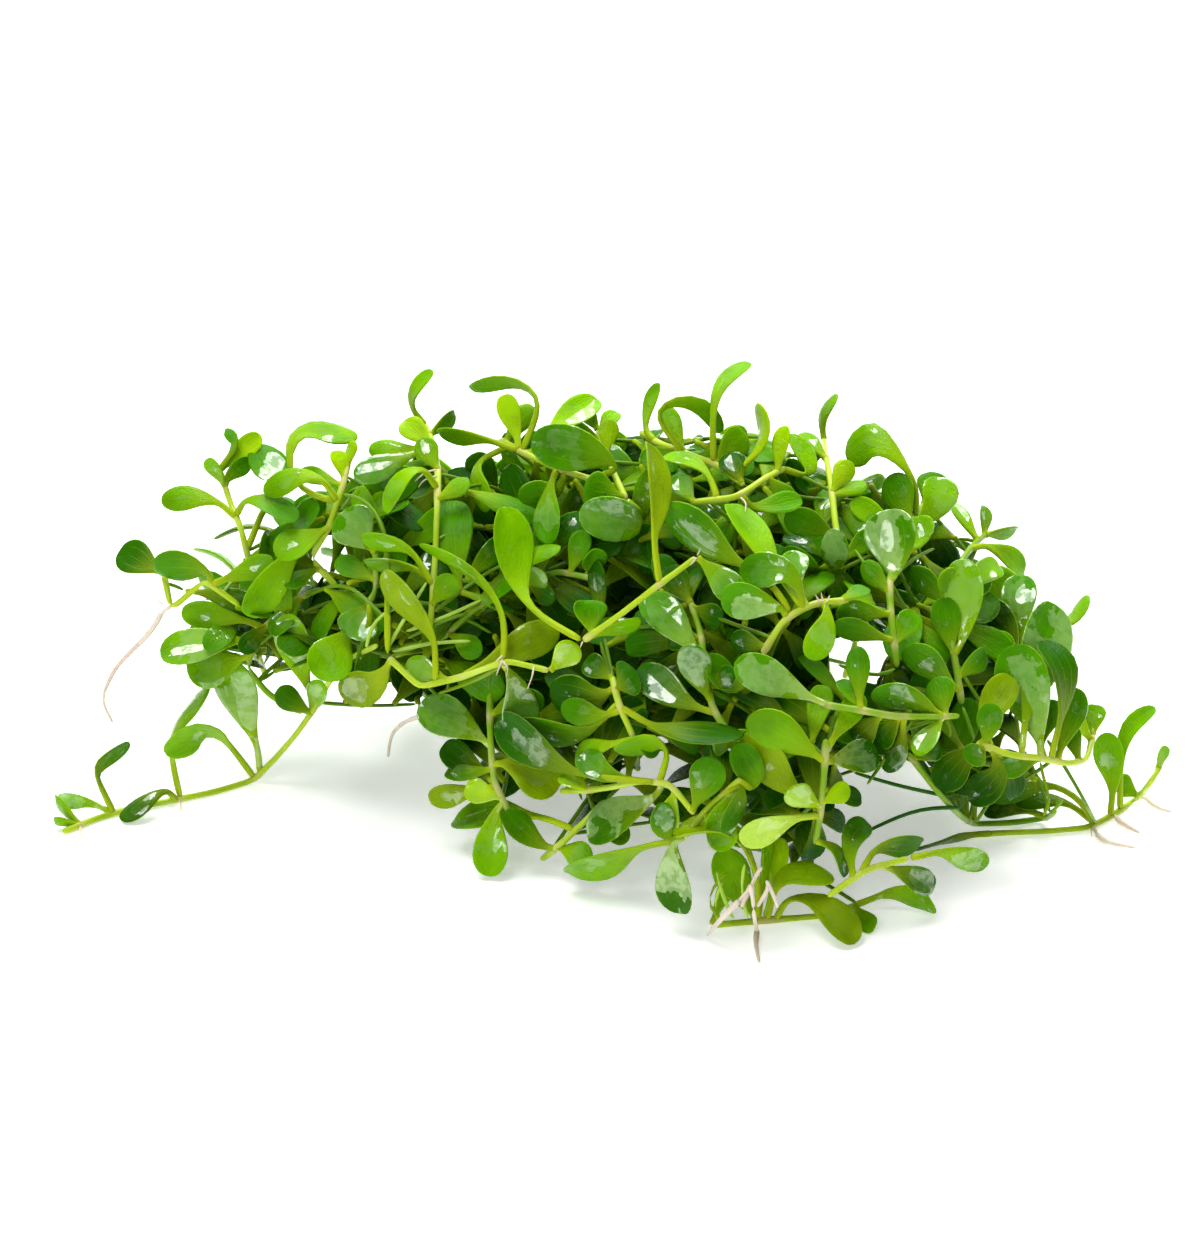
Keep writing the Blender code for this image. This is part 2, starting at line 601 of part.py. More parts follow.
def heap_at(across):
    """Half depth, middle and height of the heap at a place across, all in metres."""
    place = across / MM
    for near, far in zip(HEAP, HEAP[1:]):
        if place <= far[0]:
            break
    share = min(max((place - near[0]) / (far[0] - near[0]), 0), 1)
    return [(a + (b - a) * share) * MM for a, b in zip(near[1:], far[1:])]


def at_depth(across, down, depth):
    """The point of a pixel's line of sight at a depth, kept above the surface."""
    way = line_of_sight(across, down)
    point = EYE + way * ((depth - EYE.y) / way.y)
    return point if point.z >= LIE else on_surface(across, down)


def on_surface(across, down):
    """Where a pixel's line of sight meets what lies on the surface."""
    way = line_of_sight(across, down)
    return EYE + way * ((LIE - EYE.z) / way.z)


def heap_depth(across, down):
    """The depth at which a pixel's line of sight meets the heap, or passes it closest."""
    way = line_of_sight(across, down)
    half, middle, height = heap_at(AIM.x + (across - PHOTO_MIDDLE[0]) * PIXEL)
    start_y, start_z = (EYE.y - middle) / half, EYE.z / height
    way_y, way_z = way.y / half, way.z / height
    square = way_y**2 + way_z**2
    linear = start_y * way_y + start_z * way_z
    inside = linear**2 - square * (start_y**2 + start_z**2 - 1)
    return EYE.y + way.y * (-linear - math.sqrt(max(inside, 0))) / square


def seen_reach(point):
    """How far out the sight through a point passes the heap; at 1 it just meets its form."""
    half, middle, height = heap_at(point.x)
    start_y, start_z = (EYE.y - middle) / half, EYE.z / height
    way_y, way_z = (point.y - EYE.y) / half, (point.z - EYE.z) / height
    return abs(start_y * way_z - start_z * way_y) / math.hypot(way_y, way_z)


def spot(place):
    """A point written (across, down) lies on the surface, a third value is mm into the heap."""
    if len(place) == 2:
        return on_surface(*place)
    across, down, inset = place
    return at_depth(across, down, heap_depth(across, down) + inset * MM)


def smooth(points, steps):
    """Points along a smooth curve through the given ones, steps of them in each stretch."""
    ends = [2 * points[0] - points[1], *points, 2 * points[-1] - points[-2]]
    curve = []
    for before, start, end, after in zip(ends, ends[1:], ends[2:], ends[3:]):
        for step in range(steps):
            t = step / steps
            pull = (end - before) * t + (2 * before - 5 * start + 4 * end - after) * t**2
            curve.append(start + (pull + (3 * start - before - 3 * end + after) * t**3) / 2)
    return [*curve, points[-1]]


def lengths_along(points):
    """The length of a line of points up to each of them."""
    total = [0.0]
    for start, end in zip(points, points[1:]):
        total.append(total[-1] + (end - start).length)
    return total


def point_along(points, lengths, distance):
    """The point and the direction of a line at a distance from its start."""
    last = len(points) - 2
    index = next((i for i in range(last) if lengths[i + 1] >= distance), last)
    way = points[index + 1] - points[index]
    share = (distance - lengths[index]) / max(way.length, 1e-9)
    return points[index] + way * share, way.normalized()


def nearest_on(stem, across, down):
    """The stem's point that the picture shows nearest to a pixel."""
    way = line_of_sight(across, down).normalized()
    return min(stem, key=lambda point: (point - EYE).cross(way).length)


def leaf_line(shoot, row, stem, lean):
    """A leaf's middle line, from inside its stem to its tip."""
    root = nearest_on(stem, *row.points[0])
    across, down = row.points[-1]
    start = root.y if shoot.free else heap_depth(across, down)
    seen = lengths_along([Vector(point) for point in row.points])[-1] * PIXEL
    deeper = start + row.tip * MM - root.y
    tip_depth = root.y + min(max(deeper, -MOST_REACH * seen), MOST_REACH * seen) + lean * MM
    points = [root]
    count = len(row.points)
    for number, (across, down) in enumerate(row.points[1:], 1):
        share = number / (count - 1)
        depth = root.y + (tip_depth - root.y) * share**BEND_LATE
        points.append(at_depth(across, down, depth))
    return points


def natural_width(length):
    """How wide a leaf of this length grows."""
    return min(max(NATURAL_WIDTH * length, LEAST_WIDTH), MOST_WIDTH)


def leaf_roll(key, seen, length):
    """How far a leaf is turned about its middle line, and its true width."""
    chance = random.Random(key)
    grown = natural_width(length)
    side = chance.choice((-1, 1))
    if seen < grown:
        return side * math.acos(max(seen / grown, LEAST_SEEN)), grown
    turn = chance.uniform(*SMALL_TURNS)
    return side * turn, seen / math.cos(turn)


def section_frame(tangent, facing, roll, centre, half):
    """The blade's sideways direction and its upper normal, laid down where it meets the ground."""
    side = facing.cross(tangent).normalized()
    up = tangent.cross(side)
    side = side * math.cos(roll) + up * math.sin(roll)
    room = max(centre.z, EDGE_ROOM) / half
    if abs(side.z) > room:
        flat = tangent.cross(Vector((0, 0, 1)))
        if flat.length > 0.2:
            flat.normalize()
            flat = flat if flat.dot(side) > 0 else -flat
            steep = flat.cross(tangent)
            steep = steep if steep.z * side.z > 0 else -steep
            raised = min(room / max(abs(steep.z), 1e-6), 1)
            side = (flat * math.sqrt(1 - raised**2) + steep * raised).normalized()
    normal = tangent.cross(side).normalized()
    return side, normal if normal.dot(facing) > 0 else -normal


def leaf_sections(points, width, long_stalk):
    """Places of a leaf's sections: distance from the root, half width and half thickness."""
    length = lengths_along(points)[-1]
    blade = min(BLADE_LENGTH * width, MOST_BLADE * length)
    stalk = length - blade
    thin, thick = STALK_RADIUS, BLADE_THICKNESS / 2
    sections = [(0.0, thin, thin)]
    if long_stalk:
        sections.append((stalk * 0.5, thin, thin))
    sections.append((stalk + blade * 0.08, thin * 1.4, thin))
    sections.append((stalk + blade * 0.60, width * 0.5, thick))
    if width > ROUNDED_WIDTH:
        sections.append((stalk + blade * 0.87, width * 0.35, thick * 0.8))
    return sections, length


def leaf_mesh(points, facing, roll, width, swell=0.0, only_blade=False):
    """A leaf as a loft of sections with two edges and a keel, closed by a point at its tip."""
    line = smooth(points, LEAF_STEPS)
    lengths = lengths_along(line)
    sections, length = leaf_sections(line, width, len(points) > 3)
    if only_blade:
        sections = [section for section in sections if section[0] > STALK_FOOT]
    mesh = bmesh.new()
    ring = None
    for distance, half, thick in sections:
        centre, tangent = point_along(line, lengths, distance)
        side, normal = section_frame(tangent, facing, roll, centre, half)
        half, thick = half + swell, thick + swell
        face = centre + normal * thick
        corners = [face + side * half, face - side * half, centre - normal * thick]
        for corner in corners:
            corner.z = max(corner.z, 0)
        new_ring = [mesh.verts.new(corner) for corner in corners]
        join_rings(mesh, ring, new_ring)
        ring = new_ring
    tip, tangent = point_along(line, lengths, length)
    tip = mesh.verts.new(Vector((tip.x, tip.y, max(tip.z, TIP_HEIGHT))) + tangent * swell)
    for start, end in zip(ring, ring[1:] + ring[:1]):
        mesh.faces.new((start, end, tip))
    bmesh.ops.triangulate(mesh, faces=mesh.faces[:])
    bmesh.ops.recalc_face_normals(mesh, faces=mesh.faces[:])
    return mesh


def join_rings(mesh, ring, new_ring):
    """Faces between two sections, or the closing face of the first."""
    if ring is None:
        mesh.faces.new(new_ring)
        return
    corners = zip(ring, ring[1:] + ring[:1], new_ring[1:] + new_ring[:1], new_ring)
    for face in corners:
        mesh.faces.new(face)


def new_object(name, data, collection):
    """An object in a collection."""
    created = bpy.data.objects.new(name, data)
    collection.objects.link(created)
    return created


def tube(name, points, radius, end_radius, collection):
    """A stem or a root: a tapering tube along points, as a closed mesh."""
    curve = bpy.data.curves.new(name, "CURVE")
    curve.dimensions = "3D"
    curve.bevel_depth = radius
    curve.bevel_resolution = 0
    curve.use_fill_caps = True
    spline = curve.splines.new("POLY")
    spline.points.add(len(points) - 1)
    lengths = lengths_along(points)
    for knot, point, length in zip(spline.points, points, lengths):
        knot.co = (*point, 1)
        knot.radius = 1 + (end_radius / radius - 1) * length / lengths[-1]
        knot.tilt = math.radians(45)
    drawn = new_object(name, curve, collection)
    bpy.context.view_layer.update()
    seen = drawn.evaluated_get(bpy.context.evaluated_depsgraph_get())
    data = bpy.data.meshes.new_from_object(seen)
    bpy.data.objects.remove(drawn)
    bpy.data.curves.remove(curve)
    closed = bmesh.new()
    closed.from_mesh(data)
    bmesh.ops.remove_doubles(closed, verts=closed.verts[:], dist=0.01 * MM)
    bmesh.ops.triangulate(closed, faces=closed.faces[:])
    bmesh.ops.recalc_face_normals(closed, faces=closed.faces[:])
    closed.to_mesh(data)
    closed.free()
    return new_object(name, data, collection)


def thinned(points, spacing):
    """A line's points at about this spacing, with both ends."""
    lengths = lengths_along(points)
    count = max(round(lengths[-1] / spacing), 1)
    return [point_along(points, lengths, lengths[-1] * i / count)[0] for i in range(count + 1)]


def tree_of(mesh):
    """A search tree of a mesh, for finding where two plants would meet."""
    return BVHTree.FromBMesh(mesh)


def tree_of_object(thing):
    """The same of an object's mesh."""
    mesh = bmesh.new()
    mesh.from_mesh(thing.data)
    tree = tree_of(mesh)
    mesh.free()
    return tree


def material(name, colour, roughness):
    """A finish of one colour."""
    made = bpy.data.materials.new(name)
    made.use_nodes = True
    shader = made.node_tree.nodes["Principled BSDF"]
    shader.inputs["Base Color"].default_value = (*colour, 1)
    shader.inputs["Roughness"].default_value = roughness
    shader.inputs["Metallic"].default_value = 0
    return made


def back_shoot(number, row):
    """A stem that climbs the back or the inside of the heap, and its leaves' root-to-tip lines."""
    foot, head, low, high, reach = row
    chance = random.Random(f"back {number}")
    points = []
    for step in range(BACK_NODES * 2 + 1):
        share = step / (BACK_NODES * 2)
        across = (foot + (head - foot) * share) * MM
        half, middle, height = heap_at(across)
        angle = math.radians(low + (high - low) * share)
        sway = math.sin(share * 9 + number * 2.1) * BACK_SWAY
        points.append(Vector((
            across + sway,
            middle + half * reach * math.cos(angle),
            max(height * reach * math.sin(angle), LIE if step else FOOT),
        )))
    lines = []
    for node in range(BACK_NODES):
        root = points[node * 2 + 1]
        _, middle, height = heap_at(root.x)
        outward = Vector((0, (root.y - middle), root.z * 0.9 + 3 * MM)).normalized()
        turn = chance.uniform(0, math.pi)
        for side in (-1, 1):
            spread = Vector((math.cos(turn), 0, math.sin(turn))) * side
            way = outward * chance.uniform(*BACK_SPREAD) + spread * chance.uniform(*BACK_SPREAD)
            way.z += chance.uniform(0, 0.4)
            length = chance.uniform(*BACK_LENGTHS)
            bend = outward * length * chance.uniform(*BACK_BEND)
            tip = root + way.normalized() * length
            while seen_reach(tip) > BACK_HIDDEN and tip.z > BACK_TIP_HEIGHT:
                tip.z -= BACK_LOWERING
            tip.z = max(tip.z, BACK_TIP_HEIGHT)
            middle_point = (root + tip) / 2 + bend
            lines.append(([root, middle_point, tip], outward, chance.uniform(*BACK_WIDTHS)))
    return points, lines


def lean_line(line, outward, lean):
    """A back leaf's line with its tip moved in or out, its root kept."""
    last = len(line) - 1
    return [point + outward * lean * MM * (i / last) for i, point in enumerate(line)]


class Builder:
    """Makes the plants one after another, each clear of those already there."""

    def __init__(self, collection, helpers):
        self.collection = collection
        self.helpers = helpers
        self.placed = {}  # name: search trees of what stands so far

    def clear_of_others(self, name, shape):
        """Whether a leaf meets no plant but its own."""
        mesh = leaf_mesh(*shape, swell=TOUCH)
        tree = tree_of(mesh)
        mesh.free()
        for other, trees in self.placed.items():
            if other != name and any(tree.overlap(one) for one in trees):
                return False
        return True

    def clear_of_own(self, name, shape):
        """Whether a leaf's blade meets none of its own plant."""
        mesh = leaf_mesh(*shape, only_blade=True)
        tree = tree_of(mesh)
        mesh.free()
        return not any(tree.overlap(one) for one in self.placed[name])

    def add_tube(self, name, points, radius, end_radius):
        """A plant's stem or a root."""
        made = tube(name, points, radius, end_radius, self.collection)
        self.placed.setdefault(name, []).append(tree_of_object(made))
        return made

    def grow(self, name, lines):
        """One leaf: of its leaning shapes that are clear, the first, best clear of its own too."""
        clear = [shape for shape in lines if self.clear_of_others(name, shape)]
        if not clear:
            return None
        best = next((shape for shape in clear if self.clear_of_own(name, shape)), clear[0])
        mesh = leaf_mesh(*best)
        self.placed[name].append(tree_of(mesh))
        data = bpy.data.meshes.new(f"{name}_leaf")
        mesh.to_mesh(data)
        mesh.free()
        return new_object(f"{name}_leaf", data, self.helpers)


def fuse(stem, leaves):
    """Joins a stem and the leaves that grow from it in one closed mesh."""
    for one in leaves:
        least = enclosed(stem.data)
        for solver in ("EXACT", "MANIFOLD"):
            data = united(stem, one, solver)
            if enclosed(data) > least:
                break
        old, stem.data = stem.data, data
        bpy.data.meshes.remove(old)
        data = one.data
        bpy.data.objects.remove(one)
        bpy.data.meshes.remove(data)
    simplify(stem.data)


def simplify(data):
    """Turns facets that lie in one plane into as few as they need."""
    mesh = bmesh.new()
    mesh.from_mesh(data)
    bmesh.ops.dissolve_limit(
        mesh, angle_limit=FLAT_ENOUGH, verts=mesh.verts[:], edges=mesh.edges[:]
    )
    bmesh.ops.triangulate(mesh, faces=mesh.faces[:])
    if all(len(edge.link_faces) == 2 for edge in mesh.edges):
        mesh.to_mesh(data)
    mesh.free()


def united(stem, one, solver):
    """The mesh of a stem joined with one leaf."""
    joined = stem.modifiers.new("leaf", "BOOLEAN")
    joined.operation = "UNION"
    joined.solver = solver
    joined.object = one
    bpy.context.view_layer.update()
    seen = stem.evaluated_get(bpy.context.evaluated_depsgraph_get())
    data = bpy.data.meshes.new_from_object(seen)
    stem.modifiers.clear()
    return data


def enclosed(data):
    """The volume that a mesh encloses, or 0 if it isn't closed."""
    mesh = bmesh.new()
    mesh.from_mesh(data)
    closed = all(len(edge.link_faces) == 2 for edge in mesh.edges)
    volume = mesh.calc_volume() if closed else 0
    mesh.free()
    return volume


def photo_leaf_lines(shoot, number, row, stem):
    """The lines that a leaf of the photograph may take, from straight to the most leaning."""
    facing = -INTO_VIEW
    for lean in LEANS:
        points = leaf_line(shoot, row, stem, lean)
        length = lengths_along(points)[-1]
        if length < SMALLEST_SOLID:
            return
        key = f"{shoot.name} {number}"
        roll, width = leaf_roll(key, row.wide * PIXEL, length)
        yield points, facing, roll, width


def clear_scene():
    """An empty scene to build in."""
    for thing in list(bpy.data.objects):
        bpy.data.objects.remove(thing)


def new_collection(name):
    """A collection linked to the scene."""
    made = bpy.data.collections.new(name)
    bpy.context.scene.collection.children.link(made)
    return made


def flatten_underside(thing, block):
    """Takes off what a lying stem would press below the surface."""
    cut = thing.modifiers.new("surface", "BOOLEAN")
    cut.operation = "DIFFERENCE"
    cut.solver = "EXACT"
    cut.object = block


def surface_block(collection):
    """A block below the surface, which flattens what lies on it."""
    bpy.ops.mesh.primitive_cube_add(size=1)
    block = bpy.context.object
    block.name = "surface_block"
    block.data.transform(Matrix.Diagonal((*SURFACE_BLOCK, 1)))
    block.location = (0, 0, -SURFACE_BLOCK[2] / 2)
    for holder in list(block.users_collection):
        holder.objects.unlink(block)
    collection.objects.link(block)
    block.hide_render = True
    block.display_type = "WIRE"
    return block


def main():
    """Draws every stem and root, grows the leaves, and joins each plant in one solid."""
    clear_scene()
    plants = new_collection("glossostigma")
    helpers = new_collection("helpers")
    builder = Builder(plants, helpers)
    green = material("leaf_green", (0.09, 0.30, 0.015), 0.28)
    pale = material("root_cream", (0.82, 0.70, 0.55), 0.5)

    stems = {}
    for shoot in SHOOTS:
        route = smooth([spot(place) for place in shoot.stem], STEM_STEPS)
        points = thinned(route, STEM_STRETCH)
        stems[shoot.name] = thinned(points, ROOT_STEP)
        builder.add_tube(shoot.name, points, STEM_RADIUS, STEM_RADIUS * STEM_TAPER)
    for name, route in ROOTS:
        points = thinned(smooth([spot(place) for place in route], ROOT_STEPS), ROOT_STRETCH)
        builder.add_tube(name, points, ROOT_RADIUS, ROOT_RADIUS * ROOT_TAPER)
    back = {}
    for number, row in enumerate(BACK_STEMS, 1):
        name = f"stem_back_{number:02d}"
        points, back[name] = back_shoot(number, row)
        builder.add_tube(name, points, STEM_RADIUS, STEM_RADIUS * STEM_TAPER)

    grown = {}
    for shoot in SHOOTS:
        made = grown.setdefault(shoot.name, [])
        for number, row in enumerate(shoot.leaves):
            lines = photo_leaf_lines(shoot, number, row, stems[shoot.name])
            made.append(builder.grow(shoot.name, lines))
    for name, lines in back.items():
        made = grown.setdefault(name, [])
        for number, (line, outward, width) in enumerate(lines):
            roll = random.Random(f"{name} {number}").uniform(-BACK_ROLL, BACK_ROLL)
            tries = [(lean_line(line, outward, lean), outward, roll, width) for lean in LEANS]
            made.append(builder.grow(name, tries))

    block = surface_block(helpers)
    for thing in list(plants.objects):
        leaves = [one for one in grown.get(thing.name, []) if one]
        fuse(thing, leaves)
        if min(vertex.co.z for vertex in thing.data.vertices) < 0:
            flatten_underside(thing, block)
        root = thing.name.startswith("root_")
        finish = (pale if root else green).copy()
        finish.name = f"{thing.name}_finish"
        thing.data.materials.clear()
        thing.data.materials.append(finish)
        thing.location = CENTRING


main()
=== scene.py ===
"""Dresses a loose handful of glossostigma: creeping stems with spoon-shaped leaves, and roots.

Metres, +Z up, the front faces -Y. Each plant is drawn again in fine form along the same routes
as its solid, and stands for it. The routes are written as the photograph shows them.
"""

import logging
import math
import random
from collections import Counter
from dataclasses import dataclass, field
from enum import Enum
from typing import Callable, Iterator

import bmesh
import bpy
from mathutils import Matrix, Vector


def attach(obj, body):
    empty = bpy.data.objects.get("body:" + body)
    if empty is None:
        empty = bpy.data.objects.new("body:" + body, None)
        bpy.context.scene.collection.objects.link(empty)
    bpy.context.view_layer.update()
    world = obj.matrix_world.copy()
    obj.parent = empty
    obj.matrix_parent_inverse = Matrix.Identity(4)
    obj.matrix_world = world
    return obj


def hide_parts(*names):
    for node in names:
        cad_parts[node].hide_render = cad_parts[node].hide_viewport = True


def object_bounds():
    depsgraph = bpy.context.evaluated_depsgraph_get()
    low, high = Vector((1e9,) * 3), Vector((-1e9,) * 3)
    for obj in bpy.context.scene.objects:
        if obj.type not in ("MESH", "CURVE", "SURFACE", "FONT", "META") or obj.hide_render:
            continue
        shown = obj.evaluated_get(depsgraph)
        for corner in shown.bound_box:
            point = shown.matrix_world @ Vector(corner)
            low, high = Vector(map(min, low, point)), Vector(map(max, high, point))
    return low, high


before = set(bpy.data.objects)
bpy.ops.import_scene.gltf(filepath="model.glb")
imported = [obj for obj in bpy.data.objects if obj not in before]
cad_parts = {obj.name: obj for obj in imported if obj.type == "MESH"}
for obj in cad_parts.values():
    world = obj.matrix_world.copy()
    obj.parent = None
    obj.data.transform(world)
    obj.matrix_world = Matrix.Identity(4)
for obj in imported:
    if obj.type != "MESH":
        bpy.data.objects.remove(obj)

CAD_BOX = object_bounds()
MM = 0.001
CENTRING = Vector((-0.87, 0.63, 0.0)) * MM  # brings the middle of the clump to the origin
LIE = 0.33 * MM  # height of a stem's middle where it lies on the surface
LEANS = (0, -0.8, 0.8, -1.6, 1.6, -2.4, 2.4, -3.2, 3.2, -4.2, 4.2)  # mm that a tip may be moved
LOG = logging.getLogger("glossostigma")

Places = tuple[tuple[float, ...], ...]  # in pixels: across,down or across,down,inset
Colour = tuple[float, float, float]  # in linear light

# The heap's outer form in mm: place across, half its depth, that depth's middle, its height
HEAP_FORM = (
    (-52, 5, 2, 10), (-43, 7, 3, 20.5), (-30, 12, 4, 28.6), (-18, 16, 4, 32.7),
    (-5, 22, 5, 33.1), (5, 27, 1, 34.3), (12, 30, -1, 34.8), (25, 27, -1, 30),
    (36, 20, -2, 22.9), (45, 12, -4, 9.1), (53, 8, -5, 6),
)

